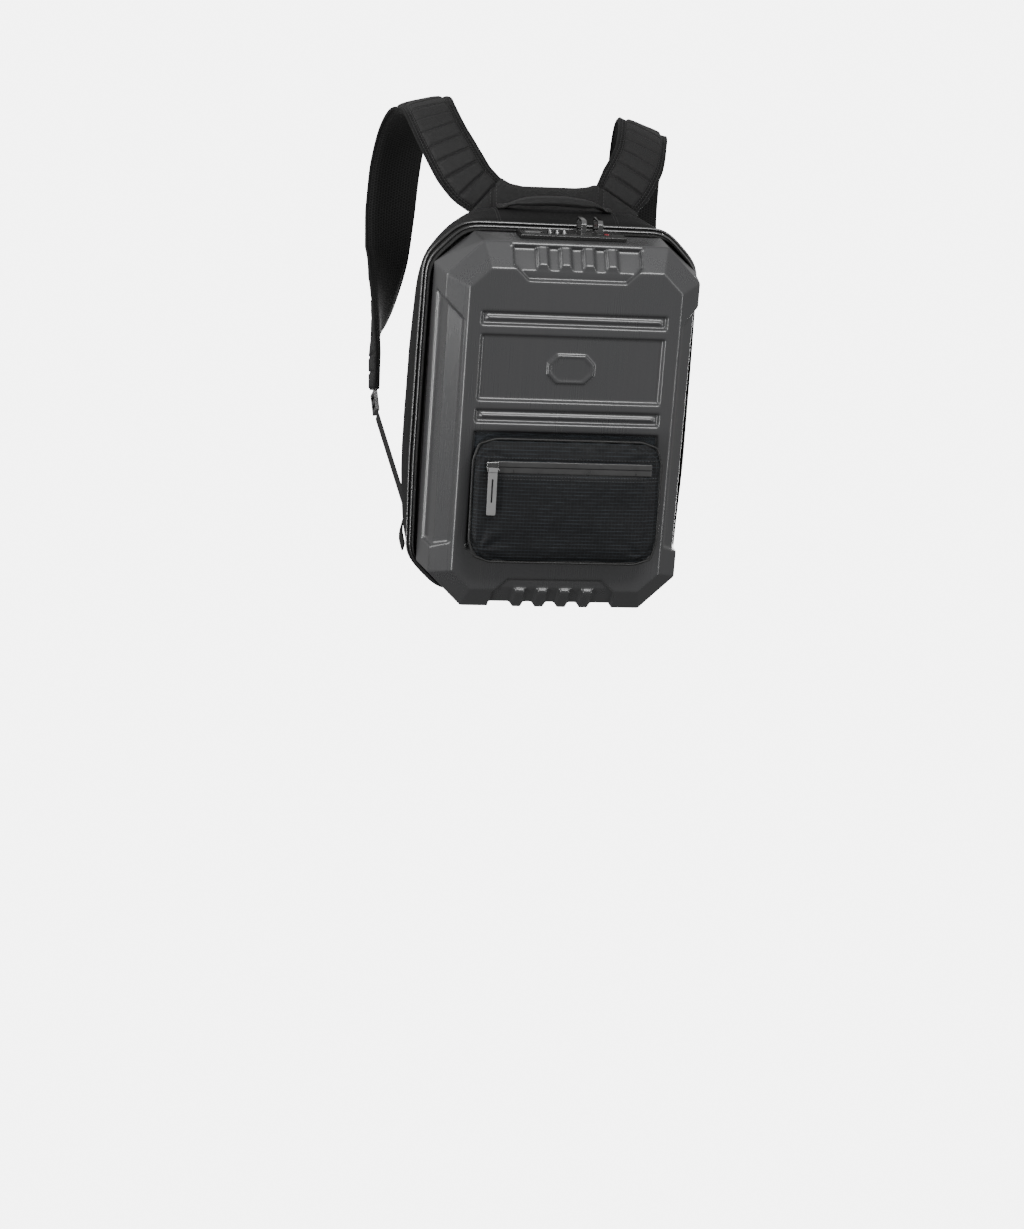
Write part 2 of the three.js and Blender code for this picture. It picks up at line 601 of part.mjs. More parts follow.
function lockHousing() {
  const back = LOCK_FRONT + LOCK_WIDTH;
  const plate = plan(-LOCK_HALF_LENGTH, LOCK_HALF_LENGTH, LOCK_FRONT, back, LOCK_BASE, LOCK_TOP, 1.4);
  const cover = plan(
    LOCK_HALF_LENGTH * 0.74, LOCK_HALF_LENGTH * 0.95, LOCK_FRONT + 6, back - 8,
    LOCK_TOP - 1, LOCK_TOP + 1.4, 1);
  const dialSlots = DIAL_PLACES.map((x) => block(
    x - DIAL_WIDTH / 2 - GAP, x + DIAL_WIDTH / 2 + GAP,
    LOCK_ROW - DIAL_RADIUS - GAP, LOCK_ROW + DIAL_RADIUS + GAP, LOCK_BASE - 1, LOCK_TOP + 1));
  const releaseSlot = block(
    RELEASE_START - GAP, RELEASE_START + RELEASE_LENGTH + RELEASE_TRAVEL + GAP,
    LOCK_ROW - RELEASE_WIDTH / 2 - GAP, LOCK_ROW + RELEASE_WIDTH / 2 + GAP,
    LOCK_TOP - DOCK_DEPTH - GAP, LOCK_TOP + 1);
  const docks = DOCK_PLACES.map((x) => block(
    x - PULL_WIDTH / 2 - GAP, x + PULL_WIDTH / 2 + GAP,
    LOCK_ROW - PULL_BAR / 2 - GAP, LOCK_ROW + PULL_BAR / 2 + GAP, LOCK_TOP - DOCK_DEPTH - GAP, LOCK_TOP + 1));
  const window = block(
    INDICATOR_PLACE - INDICATOR_HALF - GAP, INDICATOR_PLACE + INDICATOR_HALF + GAP,
    LOCK_ROW - INDICATOR_HALF - GAP, LOCK_ROW + INDICATOR_HALF + GAP, LOCK_TOP - 1.5 - GAP, LOCK_TOP + 1);
  const openings = [...dialSlots, releaseSlot, ...docks, window].map(toSolid);
  return cut(toSolid(plate).add(toSolid(cover)), openings);
}

function lockRelease() {
  return plan(
    RELEASE_START, RELEASE_START + RELEASE_LENGTH, LOCK_ROW - RELEASE_WIDTH / 2, LOCK_ROW + RELEASE_WIDTH / 2,
    LOCK_TOP - DOCK_DEPTH, LOCK_TOP + 0.8, 0.7);
}

function lockDial() {
  const wheel = new THREE.CylinderGeometry(DIAL_RADIUS, DIAL_RADIUS, DIAL_WIDTH, 20);
  return wheel.rotateZ(Math.PI / 2);
}

function lockIndicator() {
  return plan(
    INDICATOR_PLACE - INDICATOR_HALF, INDICATOR_PLACE + INDICATOR_HALF,
    LOCK_ROW - INDICATOR_HALF, LOCK_ROW + INDICATOR_HALF, LOCK_TOP - 1.5, LOCK_TOP + 0.4, 0.4);
}

// A zip slider that rides on the coil, with a bridge on top for its pull.
const SLIDER_LENGTH = 10;
const SLIDER_WIDTH = 6.4;
const SLIDER_HEIGHT = 6.5;
const SLIDER_BASE = BODY_HALF_HEIGHT + ZIP_SHELL_SIDE + COIL_HEIGHT + GAP;
const SLIDER_TOP = SLIDER_BASE + SLIDER_HEIGHT;

function zipSlider(x) {
  const length = SLIDER_LENGTH / 2;
  const width = SLIDER_WIDTH / 2;
  return plan(
    x - length, x + length, SLIDER_DEPTH - width, SLIDER_DEPTH + width, SLIDER_BASE, SLIDER_TOP, 2);
}

// The pull arches from its slider over the rim and down into its dock on the lock.
function zipPull(x) {
  const foot = LOCK_TOP - DOCK_DEPTH;
  const rear = SLIDER_DEPTH + SLIDER_WIDTH * 0.2;
  const seat = SLIDER_TOP + GAP;
  const crest = LOCK_TOP + PULL_RISE;
  const bar = PULL_BAR;
  const front = LOCK_ROW;
  const profile = [
    [front - bar / 2, foot], [front + bar / 2, foot], [front + bar / 2, crest - bar * 2.2],
    [front + bar * 1.8, crest - bar], [rear - bar * 2.3, crest - bar], [rear - bar, crest - bar * 2.4],
    [rear - bar, seat], [rear, seat], [rear, crest - bar * 1.8], [rear - bar * 1.9, crest],
    [front + bar * 1.4, crest], [front - bar / 2, crest - bar * 1.7],
  ];
  return alongX(profile, x - PULL_WIDTH / 2, x + PULL_WIDTH / 2);
}

// Pocket.

// Shares of the pocket's half width and height. Reach is how far the ring stands out, as a share of
// the pocket's depth, which grows from its top to its bottom.
const POCKET_SECTIONS = [
  { reach: 0, side: 0.965, top: -0.01, bottom: 0.06 },
  { reach: 0.25, side: 0.983, top: 0.012, bottom: 0.03 },
  { reach: 0.55, side: 0.996, top: 0.018, bottom: 0.008 },
  { reach: 0.85, side: 1, top: 0, bottom: 0 },
  { reach: 0.97, side: 0.955, top: -0.045, bottom: 0.04 },
  { reach: 1.06, side: 0.83, top: -0.13, bottom: 0.12 },
  { reach: 1.12, side: 0.5, top: -0.33, bottom: 0.3 },
];
const POCKET_SEAT = RECESS_DEPTH - GAP;
const POCKET_BOTTOM = POCKET_TOP - POCKET_HEIGHT;

function pocketDepthAt(z) {
  return mix(POCKET_DEPTH_TOP, POCKET_DEPTH_BOTTOM, (POCKET_TOP - z) / POCKET_HEIGHT) + POCKET_SEAT;
}

function pocketRing(row, inset, grow) {
  const side = row.side * POCKET_HALF_WIDTH - inset + grow;
  const top = POCKET_TOP + row.top * POCKET_HEIGHT - inset + grow;
  const bottom = POCKET_BOTTOM + row.bottom * POCKET_HEIGHT + inset - grow;
  const outline = rounded(rectangle(-side, side, bottom, top), POCKET_ROUND * row.side);
  const behind = row.reach > 1 ? inset : 0;
  return outline.map(([x, z]) => [x, POCKET_SEAT - row.reach * pocketDepthAt(z) + behind, z]);
}

// Where the pocket's front stands at a height, used by what lies on it.
function pocketFront(z) {
  return POCKET_SEAT - 1.06 * pocketDepthAt(z);
}

const STRIP_TOP = POCKET_TOP - STRIP_DROP;
const STRIP_BOTTOM = STRIP_TOP - STRIP_HEIGHT;
const STRIP_LEFT = -POCKET_HALF_WIDTH * 0.83;
const STRIP_RIGHT = POCKET_HALF_WIDTH * 0.9;
const STRIP_PROUD = 1;

function stripSolid(grow, proud, deep) {
  const corners = [
    [pocketFront(STRIP_TOP + grow) - proud, STRIP_TOP + grow],
    [pocketFront(STRIP_BOTTOM - grow) - proud, STRIP_BOTTOM - grow],
    [pocketFront(STRIP_BOTTOM - grow) + deep, STRIP_BOTTOM - grow],
    [pocketFront(STRIP_TOP + grow) + deep, STRIP_TOP + grow],
  ];
  return alongX(corners, STRIP_LEFT - grow, STRIP_RIGHT + grow);
}

function frontPocket() {
  const outer = POCKET_SECTIONS.map((row) => pocketRing(row, 0, 0));
  const inner = POCKET_SECTIONS.map((row) => pocketRing(row, POCKET_WALL, 0));
  const fabric = toSolid(skin([...outer.reverse(), ...inner]));
  return fabric.subtract(toSolid(stripSolid(GAP, POCKET_WALL * 3, POCKET_WALL * 4)));
}

function pocketPiping() {
  const row = POCKET_SECTIONS[3];
  const away = POCKET_PIPING + GAP;
  const sides = 6;
  const rings = Array.from({ length: sides }, (_, k) => {
    const turn = (k / sides) * 2 * Math.PI;
    const lift = POCKET_PIPING * Math.sin(turn);
    return pocketRing(row, 0, away + POCKET_PIPING * Math.cos(turn)).map(([x, y, z]) => [x, y + lift, z]);
  });
  return skin(rings, true);
}

const PULL_X = STRIP_LEFT + TAB_WIDTH * 0.1;
const SLIDER_LIFT = 5;
const PIN_RADIUS = 0.9;
const PIVOT = {
  x: PULL_X,
  y: pocketFront(STRIP_BOTTOM) - STRIP_PROUD - GAP - SLIDER_LIFT,
  z: STRIP_BOTTOM + STRIP_HEIGHT * 0.35,
};

// The pocket's zip slider, with two ears that carry a cross pin for the pull.
function pocketSlider() {
  const half = TAB_WIDTH / 2 + 1.6;
  const seat = pocketFront(STRIP_TOP) - STRIP_PROUD - GAP;
  const foot = pocketFront(STRIP_BOTTOM) - STRIP_PROUD - GAP;
  const body = alongX([
    [seat, STRIP_TOP], [foot, STRIP_BOTTOM + 1], [foot - 2, STRIP_BOTTOM + 2], [seat - 2, STRIP_TOP - 1],
  ], PULL_X - half, PULL_X + half);
  const ears = [-1, 1].map((side) => {
    const x = PULL_X + side * (half - 0.7);
    return block(x - 0.7, x + 0.7, PIVOT.y - PIN_RADIUS, foot - 1, PIVOT.z - 1.4, PIVOT.z + 1.4);
  });
  const pin = new THREE.CylinderGeometry(PIN_RADIUS, PIN_RADIUS, half * 2 - 1, 8);
  pin.rotateZ(Math.PI / 2).translate(PIVOT.x, PIVOT.y, PIVOT.z);
  return join([body, ...ears, pin].map(toSolid));
}

// The pull tab hangs from the pin and leans as the pocket's front does.
const TAB_LEAN = Math.atan((1.06 * (POCKET_DEPTH_BOTTOM - POCKET_DEPTH_TOP)) / POCKET_HEIGHT);

function pocketPull() {
  const eye = PIN_RADIUS + GAP;
  const half = TAB_WIDTH / 2;
  const thick = TAB_THICKNESS / 2;
  const top = eye + 1.3;
  const plate = [
    [-half, -TAB_LENGTH], [half, -TAB_LENGTH], [half, top], [-half, top],
  ];
  const tab = toSolid(alongY(rounded(plate, 1.6), -thick, thick));
  const knuckle = toSolid(block(-half, half, -eye - 1, eye + 1, -eye - 1, top));
  const bore = new THREE.CylinderGeometry(eye, eye, TAB_WIDTH * 2, 12).rotateZ(Math.PI / 2);
  const slot = block(-0.9, 0.9, -thick * 3, thick * 3, -TAB_LENGTH * 0.72, -TAB_LENGTH * 0.2);
  return cut(tab.add(knuckle), [toSolid(bore), toSolid(slot)]);
}

// Straps.

// The rise over the wearer's back: turn round the shoulder in degrees, the middle of the strap and
// the way it leans as shares of their values at the crest, and the strap's width.
const BACK_RISE = {
  left: [
    { turn: 14.7, across: 0.555, tilt: 0.1, width: 0.84 },
    { turn: 22, across: 0.685, tilt: 0.3, width: 0.93 },
    { turn: 30, across: 0.77, tilt: 0.4, width: 0.97 },
    { turn: 40, across: 0.845, tilt: 0.55, width: 0.96 },
    { turn: 50, across: 0.908, tilt: 0.7, width: 0.94 },
    { turn: 60, across: 0.952, tilt: 0.85, width: 0.93 },
    { turn: 75, across: 0.988, tilt: 0.95, width: 0.93 },
    { turn: 90, across: 1, tilt: 1, width: 0.95 },
  ],
  right: [
    { turn: 18.5, across: 0.625, tilt: 0.1, width: 0.9 },
    { turn: 28, across: 0.712, tilt: 0.4, width: 1 },
    { turn: 38, across: 0.795, tilt: 0.6, width: 1 },
    { turn: 48, across: 0.862, tilt: 0.75, width: 1 },
    { turn: 60, across: 0.91, tilt: 0.9, width: 1 },
    { turn: 75, across: 0.955, tilt: 0.96, width: 1 },
    { turn: 90, across: 1, tilt: 1, width: 1 },
  ],
};

// The run over the chest and back under the arm: shares of the way from the crest to the strap's
// lower end, of the reach over the chest, and the way the strap's face looks.
const CHEST_RUN = [
  { across: 0.13, forward: 0.4, fall: 0.028, face: [0.22, 0.28, 0.93], width: 1 },
  { across: 0.26, forward: 0.76, fall: 0.127, face: [0.2, 0.68, 0.7], width: 1 },
  { across: 0.35, forward: 0.96, fall: 0.276, face: [0.15, 0.96, 0.25], width: 1 },
  { across: 0.41, forward: 1, fall: 0.44, face: [0.2, 0.98, -0.05], width: 1 },
  { across: 0.52, forward: 0.865, fall: 0.59, face: [0.45, 0.82, -0.3], width: 1 },
  { across: 0.74, forward: 0.56, fall: 0.7, face: [0.8, 0.5, -0.3], width: 1 },
  { across: 0.95, forward: 0.28, fall: 0.79, face: [0.97, 0.15, -0.1], width: 0.96 },
  { across: 1, forward: 0.13, fall: 0.886, face: [1, 0, 0], width: 0.88 },
  { across: 1, forward: 0.03, fall: 1, face: [1, 0, 0], width: 0.62 },
];

function strapStations(name) {
  const { side, crestX, crestZ, endX, endZ, tilt } = SIDES[name];
  const rise = BACK_RISE[name].map((row) => {
    const turn = radians(row.turn);
    const lean = radians(row.tilt * tilt);
    return {
      at: [
        side * row.across * crestX,
        CREST_DEPTH - BACK_ARC_DEPTH * Math.cos(turn),
        mix(STRAP_ROOT_HEIGHT, crestZ, Math.sin(turn)),
      ],
      face: [side * Math.sin(lean), -Math.cos(turn) * Math.cos(lean), Math.sin(turn) * Math.cos(lean)],
      width: row.width,
    };
  });
  const run = CHEST_RUN.map((row) => ({
    at: [
      side * mix(crestX, endX, row.across),
      CREST_DEPTH + row.forward * CHEST_REACH,
      mix(crestZ, endZ, row.fall),
    ],
    face: [side * row.face[0], row.face[1], row.face[2]],
    width: row.width,
  }));
  return [...rise, ...run];
}

function curveThrough(stations) {
  const curve = new THREE.CatmullRomCurve3(stations.map(({ at }) => vector(at)), false, 'centripetal');
  curve.arcLengthDivisions = 600;
  return curve;
}

// A padded band along stations. Each station gives a point on its outer face, the way that face looks
// and its width. Each step gives a place along the band and how full its padding is there.
function band(stations, width, thickness, steps, profile) {
  const curve = curveThrough(stations);
  const rings = steps.map(({ along, full }) => {
    const t = curve.getUtoTmapping(along);
    const place = t * (stations.length - 1);
    const index = Math.min(Math.floor(place), stations.length - 2);
    const between = place - index;
    const face = vector(stations[index].face).lerp(vector(stations[index + 1].face), between);
    const wide = width * mix(stations[index].width, stations[index + 1].width, between);
    const tangent = curve.getTangent(t);
    const across = tangent.clone().cross(face).normalize();
    const normal = across.clone().cross(tangent).normalize();
    const middle = curve.getPoint(t).addScaledVector(normal, -thickness / 2);
    return profile(full).map(([u, v]) =>
      middle.clone().addScaledVector(across, u * wide).addScaledVector(normal, v * thickness).toArray());
  });
  return { geometry: skin(rings), rings, curve };
}

// Quilted blocks, each full at its two shoulders and pulled in at the seam between blocks.
function quiltSteps(length) {
  const blocks = Math.round(length / QUILT_PITCH);
  const steps = [{ along: 0, full: 0 }];
  for (let i = 0; i < blocks; i++) {
    steps.push({ along: (i + 0.25) / blocks, full: 1 });
    steps.push({ along: (i + 0.75) / blocks, full: 1 });
    steps.push({ along: (i + 1) / blocks, full: 0 });
  }
  return steps;
}

// The strap's section: thin bound edges, a plain inner face and a padded outer face.
function strapProfile(full) {
  const crown = 0.5 - (1 - full) * (QUILT_DEPTH / STRAP_THICKNESS);
  return [
    [-0.5, 0.16], [-0.41, 0.16], [-0.34, crown], [0.34, crown], [0.41, 0.16], [0.5, 0.16],
    [0.5, -0.18], [0.42, -0.5], [-0.42, -0.5], [-0.5, -0.18],
  ];
}

function shoulderStrap(name) {
  const stations = strapStations(name);
  const steps = quiltSteps(curveThrough(stations).getLength());
  return band(stations, STRAP_WIDTH, STRAP_THICKNESS, steps, strapProfile);
}

const straps = { left: shoulderStrap('left'), right: shoulderStrap('right') };

// The yoke fills the space between the two strap roots. It leans over towards the wearer above the
// bag's back edge, and is cut off one gap short of each root.
function strapYoke() {
  const rootOf = (name) => {
    const { rings, curve } = straps[name];
    const points = rings[0].map(vector);
    const [left, right] = [points[0], points[5]];
    const middle = left.clone().lerp(right, 0.5);
    const across = right.clone().sub(left).normalize();
    const along = curve.getTangent(0);
    const normal = along.clone().cross(across).normalize();
    const [outer, inner] = [left, right].sort((a, b) => Math.abs(b.x) - Math.abs(a.x));
    const beyond = block(-STRAP_WIDTH, STRAP_WIDTH, -STRAP_WIDTH, STRAP_WIDTH, -GAP, STRAP_WIDTH);
    beyond.applyMatrix4(new THREE.Matrix4().makeBasis(across, normal, along).setPosition(middle));
    const ahead = along.clone().multiplyScalar(YOKE_THICKNESS * 0.7);
    return { beyond, outer, inner, ahead };
  };
  const left = rootOf('left');
  const right = rootOf('right');
  const foot = STRAP_ROOT_HEIGHT * 0.88;
  const side = (root) => {
    const past = [root.outer, root.inner].map((p) => p.clone().add(root.ahead));
    return [root.outer, ...past, root.inner].map((p) => [p.x, p.z]);
  };
  const neck = (root, share, height) => [mix(root.inner.x, 0, share), mix(root.inner.z, NECK_HEIGHT, height)];
  const outline = [
    [left.outer.x * 0.93, foot], ...side(left), neck(left, 0.2, 0.75), neck(left, 0.44, 1.05),
    neck(right, 0.44, 1), neck(right, 0.2, 0.7), ...side(right).reverse(), [right.outer.x * 0.93, foot],
  ];
  const lean = (z) => Math.max(0, z - STRAP_ROOT_HEIGHT * 0.98) * YOKE_LEAN;
  const front = BODY_BACK + GAP;
  const sheet = (thick) => outline.map(([x, z]) => [x, front + thick + lean(z), z]);
  const panel = skin([sheet(0), sheet(YOKE_THICKNESS)]);
  return cut(toSolid(panel), [toSolid(left.beyond), toSolid(right.beyond)]);
}

const BODY_TOP = BODY_SECTIONS[3].top * BODY_HALF_HEIGHT;
const HANDLE_SHIFT = -5;
const HANDLE_SWEEP = 16;
const HANDLE_SEWN = 0.42;

// The padded grab handle, sewn down flat at both ends and arched over the fingers.
function carryHandle() {
  const rows = [
    { across: -1.1, rise: 0, forward: 1 }, { across: -0.95, rise: 0.04, forward: 0.95 },
    { across: -0.72, rise: 0.6, forward: 0.5 }, { across: -0.35, rise: 0.92, forward: 0.12 },
    { across: 0, rise: 1, forward: 0 },
    { across: 0.35, rise: 0.92, forward: 0.12 }, { across: 0.72, rise: 0.6, forward: 0.5 },
    { across: 0.95, rise: 0.04, forward: 0.95 }, { across: 1.1, rise: 0, forward: 1 },
  ];
  const sewn = HANDLE_THICKNESS * HANDLE_SEWN;
  const front = BODY_FRONT + BODY_DEPTH * 0.43;
  const stations = rows.map(({ across, rise, forward }) => ({
    at: [
      across * HANDLE_HALF_LENGTH + HANDLE_SHIFT,
      front + forward * HANDLE_SWEEP,
      BODY_TOP + GAP + sewn + rise * (HANDLE_RISE - sewn),
    ],
    face: [0, 0, 1],
    width: 1,
  }));
  const profile = (full) => {
    const under = 0.5 - mix(HANDLE_SEWN, 1, full);
    const edge = mix(0.3, 0.05, full);
    const low = under + mix(0.03, 0.12, full);
    return [
      [-0.5, edge], [-0.3, 0.42], [0, 0.5], [0.3, 0.42], [0.5, edge],
      [0.42, low], [0.15, under], [-0.15, under], [-0.42, low],
    ];
  };
  const count = 16;
  const steps = Array.from({ length: count + 1 }, (_, i) => {
    const along = i / count;
    const full = THREE.MathUtils.smoothstep(Math.min(along, 1 - along), 0.1, 0.3);
    return { along, full };
  });
  return band(stations, HANDLE_WIDTH, HANDLE_THICKNESS, steps, profile).geometry;
}

// Adjusters, lower webbing and anchors. The webbing runs straight from the adjuster at the padded
// strap's end to a tab on the side of the bag.
const ADJUSTER_LENGTH = 26;
const ADJUSTER_HALF_WIDTH = 15;
const ADJUSTER_THICKNESS = 5;
const ANCHOR_PLACE = { depth: 0.95, height: -0.75 };
const ANCHOR_LENGTH = 32;
const ANCHOR_FREE = 18;
const ANCHOR_HALF_WIDTH = 12;
const ANCHOR_THICKNESS = 2.5;
const ANCHOR_CLEAR = 1.5;

// The body's half width at a depth and a height.
function bodySide(y, z) {
  const depth = (y - BODY_FRONT) / BODY_DEPTH;
  const next = BODY_SECTIONS.findIndex((row) => row.depth > depth);
  const after = next > 0 ? next : BODY_SECTIONS.length - 1;
  const a = BODY_SECTIONS[after - 1];
  const b = BODY_SECTIONS[after];
  const t = (depth - a.depth) / (b.depth - a.depth);
  const row = Object.fromEntries(Object.keys(a).map((key) => [key, mix(a[key], b[key], t)]));
  const outline = bodyOutline(row, 0).filter(([x]) => x > 0).sort((p, q) => q[1] - p[1]);
  const below = Math.max(outline.findIndex(([, height]) => height < z), 1);
  const [p, q] = [outline[below - 1], outline[below]];
  return mix(p[0], q[0], (z - p[1]) / (q[1] - p[1]));
}

// A frame with X out of the strap's face, Y across the strap and Z along it.
function strapFrame(origin, along, side) {
  const outward = new THREE.Vector3(side, 0, 0);
  const across = along.clone().cross(outward).normalize();
  const face = across.clone().cross(along).normalize();
  return new THREE.Matrix4().makeBasis(face, across, along).setPosition(origin);
}

function lowerRun(name) {
  const { side } = SIDES[name];
  const { curve } = straps[name];
  const tangent = curve.getTangent(1);
  const end = curve.getPoint(1).add(new THREE.Vector3(-side * STRAP_THICKNESS / 2, 0, 0));
  const y = BODY_FRONT + ANCHOR_PLACE.depth * BODY_DEPTH;
  const z = ANCHOR_PLACE.height * BODY_HALF_HEIGHT;
  const anchor = new THREE.Vector3(side * (bodySide(y, z) + ANCHOR_CLEAR + ANCHOR_THICKNESS / 2), y, z);
  const pull = anchor.clone().sub(end).normalize();
  const hang = tangent.clone().add(pull).normalize();
  const mitre = ADJUSTER_HALF_WIDTH * Math.tan(hang.angleTo(tangent));
  const adjusterStart = end.clone().addScaledVector(tangent, mitre + GAP);
  const adjusterEnd = adjusterStart.clone().addScaledVector(hang, ADJUSTER_LENGTH);
  const run = anchor.clone().sub(adjusterEnd).normalize();
  const clear = (WEBBING_WIDTH / 2) * Math.tan(run.angleTo(hang)) + GAP;
  const webbingStart = adjusterEnd.clone().addScaledVector(run, clear);
  return { side, anchor, hang, adjusterStart, run, webbingStart };
}

// A ladder-lock buckle: a flat frame with two cross slots.
function adjuster({ side, hang, adjusterStart }) {
  const half = ADJUSTER_THICKNESS / 2;
  const wide = ADJUSTER_HALF_WIDTH;
  const frame = block(-half, half, -wide, wide, 0, ADJUSTER_LENGTH);
  const slots = [0.2, 0.6].map((share) => block(
    -half * 2, half * 2, -wide * 0.74, wide * 0.74,
    ADJUSTER_LENGTH * share, ADJUSTER_LENGTH * (share + 0.2)));
  const buckle = toGeometry(cut(toSolid(frame), slots.map(toSolid)));
  return buckle.applyMatrix4(strapFrame(adjusterStart, hang, side));
}

function lowerWebbing({ side, anchor, run, webbingStart }) {
  const slant = ANCHOR_THICKNESS * Math.abs(run.x);
  const length = webbingStart.distanceTo(anchor) - ANCHOR_FREE - slant - GAP;
  const half = WEBBING_THICKNESS / 2;
  const strip = block(-half, half, -WEBBING_WIDTH / 2, WEBBING_WIDTH / 2, 0, length);
  return strip.applyMatrix4(strapFrame(webbingStart, run, side));
}

// A tab in line with the webbing: its free end meets the webbing, and the rest lies along the side of
// the bag.
function lowerAnchor({ side, anchor, run }) {
  const ahead = new THREE.Vector2(run.y, run.z).normalize();
  const across = new THREE.Vector2(-ahead.y, ahead.x);
  const freeX = Math.abs(anchor.x - run.x * ANCHOR_FREE) - ANCHOR_THICKNESS / 2;
  const rings = [-ANCHOR_FREE / ANCHOR_LENGTH, 0.04, 0.25, 0.5, 0.75, 1].map((share) => {
    const row = [-1, 1].map((half) => {
      const narrow = half * ANCHOR_HALF_WIDTH * mix(1, 0.8, Math.max(share, 0));
      const y = anchor.y + ahead.x * share * ANCHOR_LENGTH + across.x * narrow;
      const z = anchor.z + ahead.y * share * ANCHOR_LENGTH + across.y * narrow;
      return [y, z];
    });
    const [[y0, z0], [y1, z1]] = row;
    const places = [0, 0.25, 0.5, 0.75, 1].map((t) => bodySide(mix(y0, y1, t), mix(z0, z1, t)));
    const inner = share < 0 ? freeX : Math.max(...places) + ANCHOR_CLEAR;
    const outer = inner + ANCHOR_THICKNESS;
    return [
      [side * inner, y0, z0], [side * inner, y1, z1], [side * outer, y1, z1], [side * outer, y0, z0],
    ];
  });
  return skin(rings);
}

const group = new THREE.Group();
group.name = 'backpack';
const worn = new THREE.Group();
worn.position.set(0, -CREST_DEPTH, -ORIGIN_HEIGHT);
group.add(worn);

function add(name, shape, material, place = [0, 0, 0], turn = [0, 0, 0]) {
  const geometry = shape.isBufferGeometry ? shape : toGeometry(shape);
  const mesh = new THREE.Mesh(geometry, material);
  mesh.name = name;
  mesh.position.set(...place);
  mesh.rotation.set(...turn);
  worn.add(mesh);
  return mesh;
}

add('front_shell', frontShell(), MATERIALS.shell);
add('main_zip', mainZip(), MATERIALS.zip);
add('rim_piping', pipingRing(RIM_ROW, RIM_PIPING_DEPTH, 0, PIPING_RADIUS), MATERIALS.piping);
add('back_body', backBody(), MATERIALS.fabric);
const bodyPiping = pipingRing(BODY_SECTIONS[1], BODY_PIPING_DEPTH, PIPING_RADIUS + GAP, PIPING_RADIUS);
add('body_piping', bodyPiping, MATERIALS.piping);
add('back_pad', backPad(), MATERIALS.mesh);

add('lock_housing', lockHousing(), MATERIALS.plastic);
add('lock_release', lockRelease(), MATERIALS.plastic);
DIAL_PLACES.forEach((x, i) => {
  add(`lock_dial_${i + 1}`, lockDial(), MATERIALS.plastic, [x, LOCK_ROW, DIAL_HEIGHT]);
});
add('lock_indicator', lockIndicator(), MATERIALS.signal);
DOCK_PLACES.forEach((x, i) => {
  add(`zip_slider_${i + 1}`, zipSlider(x), MATERIALS.metal);
  add(`zip_pull_${i + 1}`, zipPull(x), MATERIALS.metal);
});

add('front_pocket', frontPocket(), MATERIALS.ripstop);
add('pocket_piping', pocketPiping(), MATERIALS.piping);
add('pocket_zip_strip', stripSolid(0, STRIP_PROUD, POCKET_WALL * 0.6), MATERIALS.strip);
add('pocket_slider', pocketSlider(), MATERIALS.metal);
add('pocket_pull', pocketPull(), MATERIALS.tab, [PIVOT.x, PIVOT.y, PIVOT.z], [-TAB_LEAN, 0, 0]);

add('shoulder_strap_left', straps.left.geometry, MATERIALS.fabric);
add('shoulder_strap_right', straps.right.geometry, MATERIALS.fabric);
add('strap_yoke', strapYoke(), MATERIALS.fabric);
add('carry_handle', carryHandle(), MATERIALS.fabric);
for (const name of ['left', 'right']) {
  const run = lowerRun(name);
  add(`adjuster_${name}`, adjuster(run), MATERIALS.plastic);
  add(`lower_webbing_${name}`, lowerWebbing(run), MATERIALS.fabric);
  add(`lower_anchor_${name}`, lowerAnchor(run), MATERIALS.fabric);
}

export default group;
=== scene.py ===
# %% [markdown]
# A hard shell backpack has two kinds of surface: a moulded polycarbonate front with soft edges, and a
# woven rear half with straps, a pocket and a handle. This script dresses both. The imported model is
# loaded first, because every piece here is measured from it and stays where it says.

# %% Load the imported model
import math

import bmesh
import bpy
import numpy as np
from mathutils import Matrix, Vector, noise
from mathutils.bvhtree import BVHTree


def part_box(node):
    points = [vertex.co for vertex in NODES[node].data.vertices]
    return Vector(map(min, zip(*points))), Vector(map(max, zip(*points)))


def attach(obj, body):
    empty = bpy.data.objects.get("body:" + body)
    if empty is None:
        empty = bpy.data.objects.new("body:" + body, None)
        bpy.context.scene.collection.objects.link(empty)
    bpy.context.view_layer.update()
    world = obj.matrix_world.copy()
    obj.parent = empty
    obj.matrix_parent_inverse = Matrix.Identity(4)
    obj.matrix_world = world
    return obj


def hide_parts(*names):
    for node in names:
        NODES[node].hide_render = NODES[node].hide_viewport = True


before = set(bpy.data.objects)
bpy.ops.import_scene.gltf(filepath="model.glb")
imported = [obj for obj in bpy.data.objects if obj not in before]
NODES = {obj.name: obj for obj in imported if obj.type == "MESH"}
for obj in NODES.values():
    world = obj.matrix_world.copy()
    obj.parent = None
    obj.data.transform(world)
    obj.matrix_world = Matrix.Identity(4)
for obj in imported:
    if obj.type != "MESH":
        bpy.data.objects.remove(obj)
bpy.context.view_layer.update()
print("nodes in the frame:", len(NODES))

# %% [markdown]
# Every length is a real one. The middle of the shell's front face is the handiest place to measure
# from, so a point is given in millimetres from there and moved into the frame's metres.

# %% The place that everything is measured from
MM = 0.001
shell_low, shell_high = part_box("front_shell")
FACE_MIDDLE = Vector((0, shell_low.y, (shell_low.z + shell_high.z) / 2))


def at(x, y, z):
    """A point given in millimetres from the middle of the shell's front face."""
    return FACE_MIDDLE + Vector((x, y, z)) * MM


print("middle of the shell's face:", [round(v, 4) for v in FACE_MIDDLE])

# %% [markdown]
# The camera stands a little to the left of the bag and well above it, as the photograph's did. Its
# place and angles were solved from the shell's eight corners, so they are given as angles and metres.

